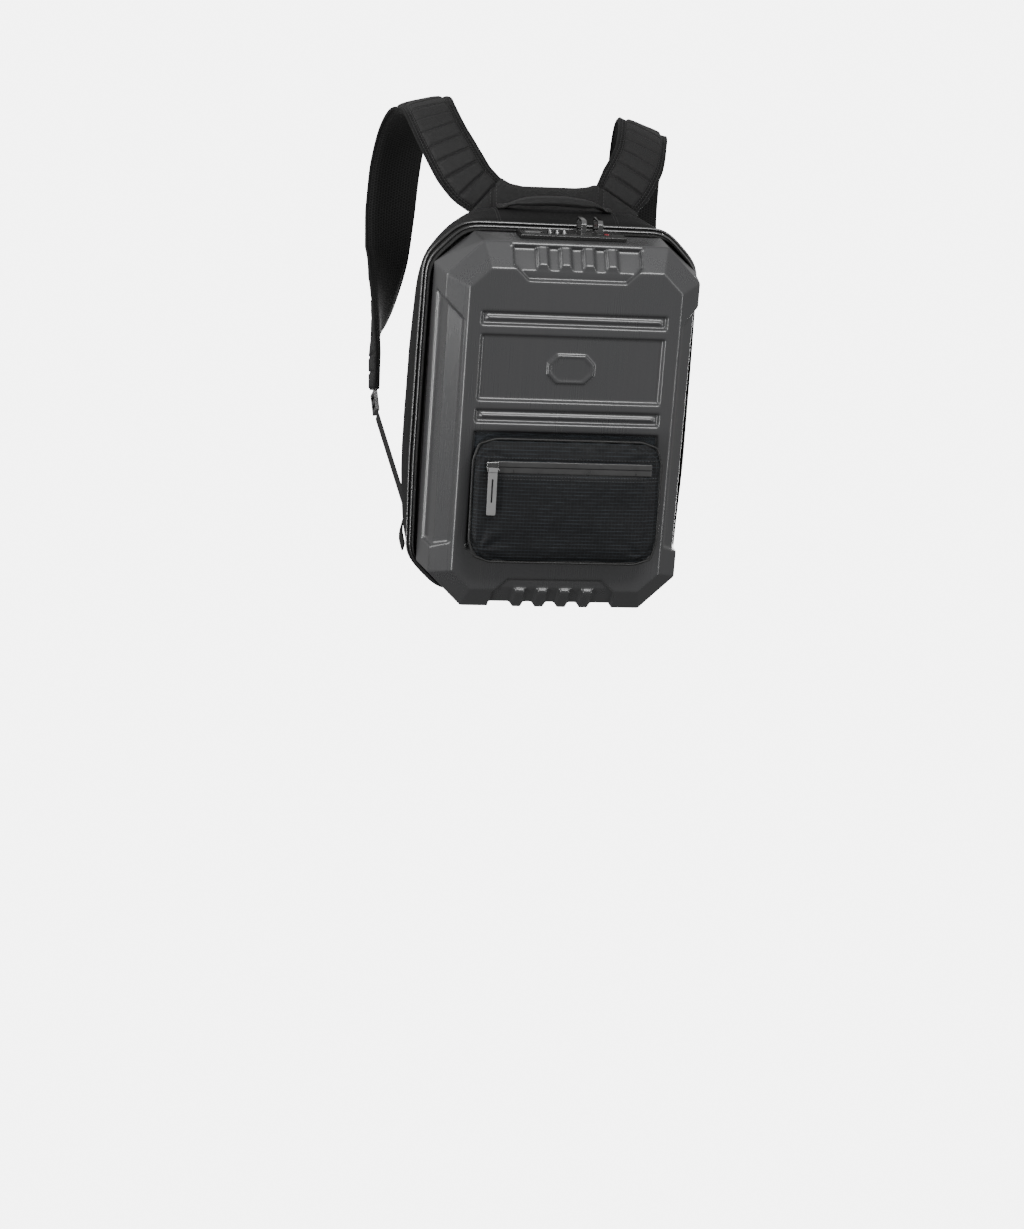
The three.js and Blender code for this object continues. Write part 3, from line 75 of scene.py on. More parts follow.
# %% Camera
CAMERA_PLACE = (-636.416, -3122.668, 787.978)
YAW, PITCH, ROLL = 0.18633, 0.30658, 0.07319
LENS_MM = 84.03


def make_camera():
    forward = Vector((
        math.sin(YAW) * math.cos(PITCH), math.cos(YAW) * math.cos(PITCH), -math.sin(PITCH)))
    level = Vector((math.cos(YAW), -math.sin(YAW), 0))
    above = level.cross(forward)
    right = math.cos(ROLL) * level + math.sin(ROLL) * above
    up = math.cos(ROLL) * above - math.sin(ROLL) * level
    camera = bpy.data.objects.new("camera", bpy.data.cameras.new("camera"))
    turn = Matrix((right, up, -forward)).transposed().to_4x4()
    camera.matrix_world = Matrix.Translation(at(*CAMERA_PLACE)) @ turn
    camera.data.lens = LENS_MM
    camera.data.sensor_width = 36
    camera.data.clip_end = 50
    bpy.context.scene.collection.objects.link(camera)
    bpy.context.scene.camera = camera


make_camera()
print("camera at:", [round(v, 3) for v in at(*CAMERA_PLACE)])

# %% [markdown]
# Every finish is a small tree of shader nodes. A helper keeps the trees short: it adds a node, sets its
# options, and either fills a socket with a value or joins it to another node's output.

# %% A short way to write a material
class Finish:
    def __init__(self, name, color, roughness, **sockets):
        self.material = bpy.data.materials.new(name)
        self.material.use_nodes = True
        self.tree = self.material.node_tree
        self.shader = self.tree.nodes["Principled BSDF"]
        self.shader.inputs["Base Color"].default_value = (*color, 1)
        self.shader.inputs["Roughness"].default_value = roughness
        for key, value in sockets.items():
            self.shader.inputs[key.replace("_", " ")].default_value = value

    def join(self, node, key, value):
        if isinstance(value, bpy.types.NodeSocket):
            self.tree.links.new(value, node.inputs[key])
        else:
            node.inputs[key].default_value = value

    def add(self, kind, inputs=None, out=0, **options):
        node = self.tree.nodes.new(kind)
        for key, value in options.items():
            setattr(node, key, value)
        for key, value in (inputs or {}).items():
            self.join(node, key, value)
        return node.outputs[out]

    def math(self, operation, a, b=0.0):
        return self.add("ShaderNodeMath", {0: a, 1: b}, operation=operation)

    def spread(self, value, low, high, into_low, into_high):
        inputs = {"Value": value, "From Min": low, "From Max": high, "To Min": into_low, "To Max": into_high}
        return self.add("ShaderNodeMapRange", inputs)

    def place(self, scale=(1, 1, 1), uv=False):
        """Coordinates in metres times a scale: the object's own, or the weave laid on its cloth."""
        source = self.add("ShaderNodeUVMap", uv_map="weave") if uv else self.add(
            "ShaderNodeTexCoord", out="Object")
        return self.add("ShaderNodeMapping", {"Vector": source, "Scale": scale})

    def noise(self, vector, scale, detail=3.0, rough=0.55):
        inputs = {"Vector": vector, "Scale": scale, "Detail": detail, "Roughness": rough}
        return self.add("ShaderNodeTexNoise", inputs)

    def blend(self, amount, first, second):
        node = self.tree.nodes.new("ShaderNodeMix")
        node.data_type = "RGBA"
        for key, value in ((0, amount), (6, first), (7, second)):
            self.join(node, key, value)
        return node.outputs[2]

    def color(self, value):
        self.join(self.shader, "Base Color", value)

    def roughness(self, value):
        self.join(self.shader, "Roughness", value)

    def bump(self, height, depth, strength=1.0):
        """Each call lays one more relief over the ones before. Depth is in metres."""
        inputs = {"Height": height, "Distance": depth, "Strength": strength}
        links = self.shader.inputs["Normal"].links
        if links:
            inputs["Normal"] = links[0].from_socket
        self.join(self.shader, "Normal", self.add("ShaderNodeBump", inputs))


def grey(value, tint=(1, 1, 1)):
    return tuple(value * t for t in tint)


def shade(value, tint=(1, 1, 1)):
    """A grey with its alpha, as a colour socket takes it."""
    return (*grey(value, tint), 1)


# %% [markdown]
# The shell is charcoal polycarbonate. Its film was brushed along the bag's height, which shows as fine
# upright streaks in the gloss, and the moulding leaves a faint unevenness that bends long reflections.

# %% Brushed shell finish
STREAKS, LONG_STREAKS = (950, 950, 14), (300, 300, 3)


def shell_finish():
    f = Finish("brushed_shell", grey(0.055), 0.36, Specular_IOR_Level=0.55)
    streaks = f.noise(f.place(STREAKS), 1.0, 4.0, 0.62)
    long_streaks = f.noise(f.place(LONG_STREAKS), 1.0, 2.0)
    cloud = f.noise(f.place(), 9.0, 3.0)
    tone = f.math("ADD", f.math("MULTIPLY", streaks, 0.65), f.math("MULTIPLY", long_streaks, 0.35))
    dark, light = shade(0.0325, (0.98, 0.99, 1.03)), shade(0.0355, (0.99, 0.99, 1.01))
    f.color(f.blend(f.spread(tone, 0.3, 0.7, 0, 1), dark, light))
    rough = f.math("ADD", f.spread(streaks, 0.3, 0.7, 0.262, 0.278), f.spread(cloud, 0.3, 0.7, -0.02, 0.04))
    f.roughness(rough)
    f.bump(streaks, 0.00001, 0.1)
    f.bump(cloud, 0.0006, 0.10)
    grain = f.noise(f.place(), 2600.0, 2.0)
    f.bump(grain, 0.00001, 0.15)
    return f.material


# %% [markdown]
# Cloth is woven threads over and under each other. Two sine waves multiplied make the over and under
# of a plain weave, and one slanted wave makes a twill's ribs. The pattern follows a weave map that is
# laid on each piece in metres, so threads have the same size on every panel.

# %% Cloth finishes
def threads(f, pitch, twill=False):
    u, v = [f.add("ShaderNodeSeparateXYZ", {0: f.place(uv=True)}, out=k) for k in (0, 1)]
    turn = 2 * math.pi / pitch
    if twill:
        ribs = f.math("SINE", f.math("MULTIPLY", f.math("ADD", u, v), turn * 0.5))
        cross = f.math("SINE", f.math("MULTIPLY", f.math("SUBTRACT", u, v), turn))
        height = f.math("ADD", f.math("MULTIPLY", ribs, 0.7), f.math("MULTIPLY", cross, 0.3))
    else:
        waves = [f.math("SINE", f.math("MULTIPLY", c, turn)) for c in (u, v)]
        height = f.math("MULTIPLY", *waves)
    return u, v, f.spread(height, -1, 1, 0, 1)


def cloth_finish(name, dark, light, pitch, twill=False, tint=(1, 1, 1), rough=0.78, gloss=0.16):
    f = Finish(
        name, grey(light, tint), rough,
        Sheen_Weight=0.02, Sheen_Roughness=0.45, Specular_IOR_Level=gloss)
    _, _, weave = threads(f, pitch, twill)
    fuzz = f.noise(f.place(), 900.0, 3.0)
    wear = f.noise(f.place(), 11.0, 4.0, 0.6)
    amount = f.math("ADD", f.math("MULTIPLY", weave, 0.55), f.spread(wear, 0.3, 0.7, 0, 0.45))
    f.color(f.blend(amount, shade(dark, tint), shade(light, tint)))
    f.roughness(f.spread(fuzz, 0.3, 0.7, rough - 0.08, rough + 0.08))
    f.bump(weave, pitch * 0.28, 0.8)
    f.bump(fuzz, 0.0001, 0.4)
    return f.material


# %% [markdown]
# The pocket's ripstop is thin coated nylon with a grid of thicker threads, and the straps' lining is a
# knitted spacer mesh. Cosine waves draw both: two sets make a grid, and three make a honeycomb.

# %% Ripstop and spacer mesh
RIPSTOP_GRID = 0.0041
MESH_PITCH = 0.0034


def ripstop_finish():
    """A thin coated nylon with a raised grid of thicker threads, painted lighter as a highlight, most along
    its rows.
    """
    f = Finish("ripstop_nylon", grey(0.012), 0.55, Specular_IOR_Level=0.14)
    u, v, weave = threads(f, 0.0007)

    def lines(c, sharp):
        wave = f.math("COSINE", f.math("MULTIPLY", c, 2 * math.pi / RIPSTOP_GRID))
        return f.spread(wave, sharp, 1.0, 0, 1)

    rows, columns = lines(v, 0.55), lines(u, 0.8)
    broken = f.spread(f.noise(f.place((60, 60, 500)), 1.0, 3.0), 0.4, 0.62, 0.25, 1)
    grid = f.math("MAXIMUM", f.math("MULTIPLY", rows, broken), f.math("MULTIPLY", columns, 0.3))
    ground = f.blend(weave, shade(0.0030, (1, 1.02, 1.08)), shade(0.0062, (0.98, 1.03, 1.12)))
    # Painted highlight: the grid is coloured lighter where its thicker threads catch the light; its relief
    # is a real bump.
    f.color(f.blend(grid, ground, shade(0.022, (0.86, 1.03, 1.22))))
    f.roughness(f.spread(f.noise(f.place(), 14.0, 3.0), 0.3, 0.7, 0.5, 0.66))
    f.bump(weave, 0.00012, 0.6)
    f.bump(grid, 0.00025, 0.7)
    return f.material


def spacer_finish():
    """Knitted spacer mesh: a honeycomb of small holes over foam."""
    f = Finish("spacer_mesh", grey(0.02), 0.9, Sheen_Weight=0.03, Specular_IOR_Level=0.2)
    u, v = [f.add("ShaderNodeSeparateXYZ", {0: f.place(uv=True)}, out=k) for k in (0, 1)]
    turn = 2 * math.pi / MESH_PITCH
    slants = [(1, 0), (0.5, 0.866), (0.5, -0.866)]
    total = None
    for along_u, along_v in slants:
        c = f.math("ADD", f.math("MULTIPLY", u, along_u * turn), f.math("MULTIPLY", v, along_v * turn))
        wave = f.math("COSINE", c)
        total = wave if total is None else f.math("ADD", total, wave)
    yarn = f.spread(total, 0.6, -0.9, 0, 1)
    f.color(f.blend(yarn, shade(0.002), shade(0.010)))
    f.bump(yarn, 0.0005, 0.7)
    f.bump(f.noise(f.place(), 1200.0, 2.0), 0.0001, 0.5)
    return f.material


# %% [markdown]
# Moulded trim, coated piping and plated metal are smooth, but never perfectly so. Fine noise in the
# roughness stands for handling marks, and a weak slow bump for the way a soft cord or a die-cast part
# isn't quite even.

# %% Plastic, piping, coated strip and metal finishes
def smooth_look(name, value, rough, tint=(1, 1, 1), grain=0.000005, wave=0.0002, **sockets):
    f = Finish(name, grey(value, tint), rough, **sockets)
    smudge = f.noise(f.place(), 60.0, 5.0, 0.6)
    tone = f.spread(smudge, 0.3, 0.7, 0.82, 1.15)
    f.color(f.blend(tone, shade(value * 0.4, tint), shade(value, tint)))
    f.roughness(f.spread(smudge, 0.3, 0.7, rough * 0.75, rough * 1.3))
    f.bump(f.noise(f.place(), 1800.0, 2.0), grain, 0.5)
    f.bump(f.noise(f.place(), 45.0, 2.0), wave, 0.3)
    return f


def smooth_finish(*look, **options):
    return smooth_look(*look, **options).material


STRIP_MIDDLE = -33.75
SLIT_HALF = 0.0004


def strip_finish():
    """A water-resistant coated zip, with its slit along the middle."""
    f = smooth_look("coated_zip_strip", 0.026, 0.34, wave=0.0006)
    height = f.add("ShaderNodeSeparateXYZ", {0: f.place()}, out=2)
    from_middle = f.math("ABSOLUTE", f.math("SUBTRACT", height, at(0, 0, STRIP_MIDDLE).z))
    slit = f.spread(from_middle, SLIT_HALF, 2 * SLIT_HALF, 0, 1)
    coating = f.shader.inputs["Base Color"].links[0].from_socket
    f.color(f.blend(slit, shade(0.001), coating))
    f.bump(slit, 0.0006, 0.8)
    return f.material


def thread_finish():
    f = Finish("stitching", grey(0.02), 0.6, Sheen_Weight=0.1)
    twist = f.add("ShaderNodeTexWave", {"Vector": f.place(), "Scale": 900.0, "Distortion": 2.0})
    f.color(f.blend(twist, shade(0.010), shade(0.03)))
    f.bump(twist, 0.00015, 0.6)
    return f.material


# %% [markdown]
# Each finish is made once and shared by every piece that wears it. The numbers are how light or dark
# the material is, its pitch in metres if it is woven, and its roughness.

# %% The finishes
SHELL = shell_finish()
BODY_CLOTH = cloth_finish("body_polyester", 0.0028, 0.0075, 0.0011)
STRAP_CLOTH = cloth_finish("strap_polyester", 0.0026, 0.0072, 0.0008, rough=0.6, gloss=0.3)
BINDING = cloth_finish("grosgrain_binding", 0.0035, 0.0115, 0.0012, twill=True)
WEBBING = cloth_finish("twill_webbing", 0.005, 0.022, 0.0022, twill=True, rough=0.7)
ZIP_TAPE = cloth_finish("zip_tape", 0.003, 0.010, 0.0009, twill=True)
RIPSTOP = ripstop_finish()
SPACER = spacer_finish()
PIPING = smooth_finish("coated_piping", 0.0065, 0.27, Specular_IOR_Level=0.9, grain=0.000001, wave=0.00004)
POCKET_CORD = smooth_finish("covered_cord", 0.006, 0.5, Specular_IOR_Level=0.35)
PLASTIC = smooth_finish("black_acetal", 0.008, 0.26, Specular_IOR_Level=0.55)
STRIP = strip_finish()
TAB = smooth_finish("soft_tab", 0.13, 0.6)
DARK_METAL = smooth_finish("dark_nickel", 0.16, 0.2, Metallic=1.0)
CHROME = smooth_finish("black_chrome", 0.2, 0.1, Metallic=1.0)
TRIM = smooth_finish("grey_trim", 0.06, 0.3)
SIGNAL = smooth_finish("red_indicator", 0.2, 0.25, tint=(1, 0.05, 0.09))
DIGIT = smooth_finish("white_digits", 0.75, 0.5)
STITCHING = thread_finish()
print("finishes:", len(bpy.data.materials))

# %% [markdown]
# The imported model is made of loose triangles. To build on its shape, a copy is merged first. Then a
# ring of its vertices can be put in order, by walking round it or by angle, and its layers counted.

# %% Reading shapes from the frame
MERGE_DISTANCE = 0.00001


def merged(node):
    mesh = bmesh.new()
    mesh.from_mesh(NODES[node].data)
    bmesh.ops.remove_doubles(mesh, verts=mesh.verts, dist=MERGE_DISTANCE)
    return mesh


def neighbours(vert, group):
    return [e.other_vert(vert) for e in vert.link_edges if e.other_vert(vert) in group]


def in_order(layer):
    """A ring's vertices, walked round it."""
    start = min(layer, key=lambda v: v.index)
    path = [start]
    while len(path) < len(layer):
        ahead = [v for v in neighbours(path[-1], layer) if v not in path]
        if not ahead:
            return None
        path.append(min(ahead, key=lambda v: (v.co - path[-1].co).length))
    return path


def round_centre(layer):
    """A flat end's vertices, in order of their angle round its middle."""
    points = [v.co for v in layer]
    middle = sum(points, Vector()) / len(points)
    spans = [max(p[k] for p in points) - min(p[k] for p in points) for k in range(3)]
    a, b = sorted(range(3), key=lambda k: -spans[k])[:2]
    return sorted(layer, key=lambda v: math.atan2(v.co[b] - middle[b], v.co[a] - middle[a]))


def walk(seeds, count):
    seen, layer, layers = set(seeds), set(seeds), []
    while layer:
        layers.append(layer)
        layer = {e.other_vert(v) for v in layer for e in v.link_edges} - seen
        seen |= layer
    return layers if all(len(one) == count for one in layers) else None


# %% [markdown]
# A skin over rings ends in a flat face. From its corners each step outwards along the edges reaches the
# next ring, so the walk gives the rings in order. Each ring is then turned to match the one before.

# %% Finding a piece's rings again
FLAT_ENOUGH = 0.0005


def flat_with(face):
    """All the faces that lie in one plane with a face, and join it."""
    flat, edge = {face}, [face]
    while edge:
        for link in edge.pop().edges:
            for other in link.link_faces:
                if other not in flat and other.normal.angle(face.normal, 0) < FLAT_ENOUGH:
                    flat.add(other)
                    edge.append(other)
    return flat


def layers_of(mesh, count):
    """A skin's vertices in one layer for each ring, from a flat end of so many points, if it is known."""
    done = set()
    for face in mesh.faces:
        if face in done:
            continue
        flat = flat_with(face)
        done |= flat
        seeds = {v for f in flat for v in f.verts}
        size = len(seeds)
        fits = len(flat) == size - 2 and (size == count if count else size > 8)
        layers = walk(seeds, size) if fits else None
        if layers:
            return layers
    return None


def rings_of(node, count=0):
    """The rings of a piece that was made as a closed skin over rings of so many points."""
    mesh = merged(node)
    mesh.verts.index_update()
    layers = layers_of(mesh, count)
    rings = []
    for i, layer in enumerate(layers):
        order = in_order(layer) if 0 < i < len(layers) - 1 else round_centre(layer)
        points = np.array([v.co for v in order])
        if rings:
            turns = [np.roll(p, k, axis=0) for p in (points, points[::-1]) for k in range(len(points))]
            shift = rings[-1].mean(axis=0)
            points = min(turns, key=lambda p: float(
                np.linalg.norm((p - p.mean(axis=0)) - (rings[-1] - shift), axis=1).sum()))
        rings.append(points)
    mesh.free()
    return np.array(rings)


# %% [markdown]
# Soft forms are skins over rings again, only much finer. A smooth spline adds rows where the rings lie
# far apart, and each point gets its weave place: how far it lies round the piece and along it, in
# metres. A closed mesh is turned to face out by the sign of its volume.

# %% Skins over rings
def smooth_rows(rows, steps):
    """A smooth spline through the rows of an array, with so many new rows for each old one."""
    rows = np.asarray(rows, float)
    n = len(rows)
    padded = np.concatenate([[2 * rows[0] - rows[1]], rows, [2 * rows[-1] - rows[-2]]])
    before, starts, after, last = padded[:n - 1], padded[1:n], padded[2:n + 1], padded[3:]
    made = []
    for k in range(steps):
        t = k / steps
        made.append(0.5 * (2 * starts + (after - before) * t
                           + (2 * before - 5 * starts + 4 * after - last) * t ** 2
                           + (3 * starts - before - 3 * after + last) * t ** 3))
    out = np.stack(made, axis=1).reshape(-1, *rows.shape[1:])
    return np.concatenate([out, rows[-1:]])


def skin(name, rings, loop=False):
    """A closed mesh over rings of points, with its weave map, facing out."""
    rings = np.asarray(rings, float)
    count, around = rings.shape[:2]
    index = np.arange(count * around).reshape(count, around)
    ahead = np.roll(index, -1, 0) if loop else index[1:]
    here = index if loop else index[:-1]
    quads = np.stack([here, np.roll(here, -1, 1), np.roll(ahead, -1, 1), ahead], axis=-1).reshape(-1, 4)
    faces = quads.tolist()
    if not loop:
        faces += [index[0][::-1].tolist(), index[-1].tolist()]
    mesh = bpy.data.meshes.new(name)
    mesh.from_pydata(rings.reshape(-1, 3).tolist(), [], faces)
    mesh.update()
    bulk = bmesh.new()
    bulk.from_mesh(mesh)
    if bulk.calc_volume(signed=True) < 0:
        bmesh.ops.reverse_faces(bulk, faces=bulk.faces)
    bulk.to_mesh(mesh)
    bulk.free()
    round_way = np.linalg.norm(np.roll(rings, -1, 1) - rings, axis=2)
    u = np.concatenate([np.zeros((count, 1)), np.cumsum(round_way, axis=1)[:, :-1]], axis=1)
    u = np.broadcast_to(u.mean(axis=0), (count, around))
    steps = np.linalg.norm(rings[1:] - rings[:-1], axis=2).mean(axis=1)
    v = np.broadcast_to(np.concatenate([[0], np.cumsum(steps)])[:, None], (count, around))
    weave = np.stack([u, v], axis=-1).reshape(-1, 2)
    corners = np.empty(len(mesh.loops), int)
    mesh.loops.foreach_get("vertex_index", corners)
    layer = mesh.uv_layers.new(name="weave")
    layer.data.foreach_set("uv", weave[corners].ravel())
    return mesh


def lay_weave(mesh):
    """Lays the weave map in metres on each face from the side that it faces most."""
    layer = mesh.uv_layers.get("weave") or mesh.uv_layers.new(name="weave")
    for face in mesh.polygons:
        axis = max(range(3), key=lambda k: abs(face.normal[k]))
        a, b = [(1, 2), (0, 2), (0, 1)][axis]
        for corner in face.loop_indices:
            place = mesh.vertices[mesh.loops[corner].vertex_index].co
            layer.data[corner].uv = (place[a], place[b])


def piece(name, mesh, material, body, replaced=(), sharp=None):
    """Puts a finished mesh in the scene, riding on its body, in place of the nodes that it stands for."""
    mesh.materials.clear()
    mesh.materials.append(material)
    made = bpy.data.objects.new(name, mesh)
    bpy.context.scene.collection.objects.link(made)
    mesh.shade_smooth()
    if sharp:
        mesh.set_sharp_from_angle(angle=math.radians(sharp))
    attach(made, body)
    if replaced:
        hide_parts(*replaced)
    return made


def applied(made):
    """Turns an object's modifiers into its mesh."""
    graph = bpy.context.evaluated_depsgraph_get()
    mesh = bpy.data.meshes.new_from_object(made.evaluated_get(graph))
    made.modifiers.clear()
    made.data = mesh
    return made


# %% [markdown]
# Real mouldings have no knife edges: plastic is drawn over a rounded tool, and that round is what draws
# the long thin highlights. A Bevel modifier trips over the many small faces where ribs, notches and
# walls meet. Building the same solid again from small voxels and smoothing it rounds every edge and
# every inner corner alike, as moulding does, and Decimate then spends the faces where the form bends.

# %% Rounding a hard piece all over
def moulded(node, material, body, slot, voxel, smoothing, most, name=None, added=()):
    bulk = merged(node)
    for corners in added:
        bmesh.ops.convex_hull(bulk, input=[bulk.verts.new(p) for p in corners])
    mesh = bpy.data.meshes.new(node + "_form")
    bulk.to_mesh(mesh)
    bulk.free()
    made = piece(name or node + "_form", mesh, material, body, [node])
    remesh = made.modifiers.new("remesh", "REMESH")
    remesh.mode = "VOXEL"
    remesh.voxel_size = voxel
    smooth = made.modifiers.new("smooth", "SMOOTH")
    smooth.iterations = smoothing
    applied(made)
    triangles = 2 * len(made.data.polygons)
    if triangles > most:
        made.modifiers.new("thin", "DECIMATE").ratio = most / triangles
        applied(made)
    made.data.shade_smooth()
    lay_weave(made.data)
    print(made.name, "triangles:", min(triangles, most))
    return made


# %% [markdown]
# The shell is the largest moulding, so its voxels are coarser than a small part's. At the root of each
# of its four lower ribs is a facet that faces up and catches the light. Each facet is a small wedge
# between eight corners, merged with the shell before the rounding, so that the two flow together.

# %% Shell
RIB_PITCH = 26.6
# Half width, depth and height of a wedge's corners, in millimetres.
RIB_START = [(7, 5.6, -183.8), (4.8, 1.2, -190.0), (4.8, 4.0, -195), (8.2, 7.5, -191)]
rib_starts = [
    [at(i * RIB_PITCH + side * half, y, z) for half, y, z in RIB_START for side in (-1, 1)]
    for i in (-1.5, -0.5, 0.5, 1.5)]
moulded(
    "front_shell", SHELL, "bag", "shell", 0.0013, 3, 190000, "moulded_shell", rib_starts)

# %% [markdown]
# Lock, sliders, pulls and buckles are small hard pieces, rounded the same way with finer voxels. The
# webbing takes few rounds of smoothing, which keep it thin. The yoke is soft but thick and plain in
# form, so it is made the same way too.

# %% Small hard pieces and the yoke
# Node, finish, body, slot, voxel size in metres, rounds of smoothing, and most triangles.
PIECES = [
    ("lock_housing", PLASTIC, "bag", "plastic", 0.00040, 2, 90000),
    ("lock_release", TRIM, "release", "plastic", 0.00025, 2, 20000),
    ("lock_indicator", SIGNAL, "bag", "signal", 0.00015, 2, 9000),
    ("pocket_slider", DARK_METAL, "bag", "metal", 0.00035, 2, 30000),
    ("pocket_pull", TAB, "pull", "tab", 0.00035, 2, 40000),
    ("pocket_zip_strip", STRIP, "bag", "strip", 0.0006, 1, 40000),
    ("adjuster_left", PLASTIC, "bag", "plastic", 0.0004, 2, 30000),
    ("adjuster_right", PLASTIC, "bag", "plastic", 0.0004, 2, 30000),
    ("lower_webbing_left", WEBBING, "bag", "fabric", 0.0006, 1, 30000),
    ("lower_webbing_right", WEBBING, "bag", "fabric", 0.0006, 1, 30000),
    ("lower_anchor_left", BINDING, "bag", "fabric", 0.0006, 3, 30000),
    ("lower_anchor_right", BINDING, "bag", "fabric", 0.0006, 3, 30000),
    ("strap_yoke", STRAP_CLOTH, "bag", "fabric", 0.0016, 5, 90000),
    ("zip_slider_1", DARK_METAL, "bag", "metal", 0.00035, 2, 20000),
    ("zip_slider_2", DARK_METAL, "bag", "metal", 0.00035, 2, 20000),
    ("zip_pull_1", CHROME, "bag", "metal", 0.00028, 3, 40000),
    ("zip_pull_2", CHROME, "bag", "metal", 0.00028, 3, 40000),
]
small = {row[0]: moulded(*row) for row in PIECES}

# %% [markdown]
# Stitches and zip teeth repeat along a path. One Geometry Nodes tree serves both: it turns the path
# into a curve, spaces points along it, and sets one small mesh on each, turned along the path and
# tipped to the surface's outward direction, which the path carries as an attribute.

# %% Repeating one small mesh along a path
def repeat_tree():
    tree = bpy.data.node_groups.new("repeat_along_path", "GeometryNodeTree")
    face = tree.interface
    face.new_socket("Geometry", in_out="INPUT", socket_type="NodeSocketGeometry")
    for name, kind in (("Pitch", "Float"), ("Copy", "Object"), ("Finish", "Material")):
        face.new_socket(name, in_out="INPUT", socket_type="NodeSocket" + kind)
    face.new_socket("Geometry", in_out="OUTPUT", socket_type="NodeSocketGeometry")
    nodes, links = tree.nodes, tree.links
    start, end = nodes.new("NodeGroupInput"), nodes.new("NodeGroupOutput")
    curve = nodes.new("GeometryNodeMeshToCurve")
    spaced = nodes.new("GeometryNodeResampleCurve")
    spaced.mode = "LENGTH"
    tangent = nodes.new("GeometryNodeInputTangent")
    outward = nodes.new("GeometryNodeInputNamedAttribute")
    outward.data_type = "FLOAT_VECTOR"
    outward.inputs["Name"].default_value = "outward"
    along, tip = [nodes.new("FunctionNodeAlignRotationToVector") for _ in range(2)]
    along.axis, tip.axis, tip.pivot_axis = "X", "Z", "X"
    copy = nodes.new("GeometryNodeObjectInfo")
    place = nodes.new("GeometryNodeInstanceOnPoints")
    real = nodes.new("GeometryNodeRealizeInstances")
    paint = nodes.new("GeometryNodeSetMaterial")
    for a, b in (
        (start.outputs["Geometry"], curve.inputs["Mesh"]),
        (curve.outputs["Curve"], spaced.inputs["Curve"]),
        (start.outputs["Pitch"], spaced.inputs["Length"]),
        (tangent.outputs["Tangent"], along.inputs["Vector"]),
        (along.outputs["Rotation"], tip.inputs["Rotation"]),
        (outward.outputs["Attribute"], tip.inputs["Vector"]),
        (spaced.outputs["Curve"], place.inputs["Points"]),
        (start.outputs["Copy"], copy.inputs["Object"]),
        (copy.outputs["Geometry"], place.inputs["Instance"]),
        (tip.outputs["Rotation"], place.inputs["Rotation"]),
        (place.outputs["Instances"], real.inputs["Geometry"]),
        (real.outputs["Geometry"], paint.inputs["Geometry"]),
        (start.outputs["Finish"], paint.inputs["Material"]),
        (paint.outputs["Geometry"], end.inputs["Geometry"]),
    ):
        links.new(a, b)
    return tree


REPEAT = repeat_tree()

# %% [markdown]
# What is repeated hundreds of times has only a few dozen faces. One spindle shape makes both copies:
# drawn out along the path it is a stitch, and squat and broad across it, it is a zip tooth.

# %% Stitches and zip teeth
SPINDLE = ((-0.5, 0.25), (-0.28, 0.85), (0, 1), (0.28, 0.85), (0.5, 0.25))
SPINDLE_SIDES = 6


def spindle(name, length, width, height):
    """A closed spindle along X, given its length, width and height in metres."""
    angles = [2 * math.pi * k / SPINDLE_SIDES for k in range(SPINDLE_SIDES)]
    rings = [
        [(x * length, r * width / 2 * math.cos(a), r * height / 2 * math.sin(a)) for a in angles]
        for x, r in SPINDLE]
    made = bpy.data.objects.new(name, skin(name, rings))
    bpy.context.scene.collection.objects.link(made)
    return made


def path_mesh(name, paths, closed):
    """Paths as edges, with the outward direction of each point. A path is its points and directions."""
    points, edges, outward = [], [], []
    for path, ways in paths:
        first = len(points)
        points += [tuple(p) for p in path]
        outward += [tuple(w) for w in ways]
        edges += [(first + i, first + i + 1) for i in range(len(path) - 1)]
        if closed:
            edges.append((len(points) - 1, first))
    mesh = bpy.data.meshes.new(name)
    mesh.from_pydata(points, edges, [])
    layer = mesh.attributes.new("outward", "FLOAT_VECTOR", "POINT")
    layer.data.foreach_set("vector", np.array(outward, float).ravel())
    return mesh


def repeated(name, paths, pitch, copy, material, closed=False):
    """Sets copies along paths on the bag, one at each pitch."""
    made = bpy.data.objects.new(name, path_mesh(name, paths, closed))
    bpy.context.scene.collection.objects.link(made)
    modifier = made.modifiers.new("repeat", "NODES")
    modifier.node_group = REPEAT
    sockets = {item.name: item.identifier for item in REPEAT.interface.items_tree if item.in_out == "INPUT"}
    modifier[sockets["Pitch"]] = pitch
    modifier[sockets["Copy"]] = copy
    modifier[sockets["Finish"]] = material
    applied(made)
    made.data.shade_smooth()
    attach(made, "bag")
    print(name, "triangles:", sum(len(f.vertices) - 2 for f in made.data.polygons))


STITCH = spindle("stitch_copy", 0.0026, 0.0005, 0.0005)
STITCH_PITCH = 0.0034
TOOTH = spindle("tooth_copy", 0.0010, 0.0050, 0.0014)
TOOTH_PITCH = 0.0015

# %% [markdown]
# The shoulder straps are foam between cloth, closed by a rolled binding down both edges and quilted
# across every two centimetres. Cloth simulation would lose the seams, so each strap is skinned anew:
# the frame's rings give its middle, its width and its outer side.

# %% Where the straps lie
# The frame's section of a strap, as shares of its width and of its thickness.
STRAP_OUTLINE = [
    (-0.5, 0.16), (-0.41, 0.16), (-0.34, 0.5), (0.34, 0.5), (0.41, 0.16), (0.5, 0.16),
    (0.5, -0.18), (0.42, -0.5), (-0.42, -0.5), (-0.5, -0.18),
]
STRAP_TUCK = 5 * MM
ROWS_PER_RING = 4


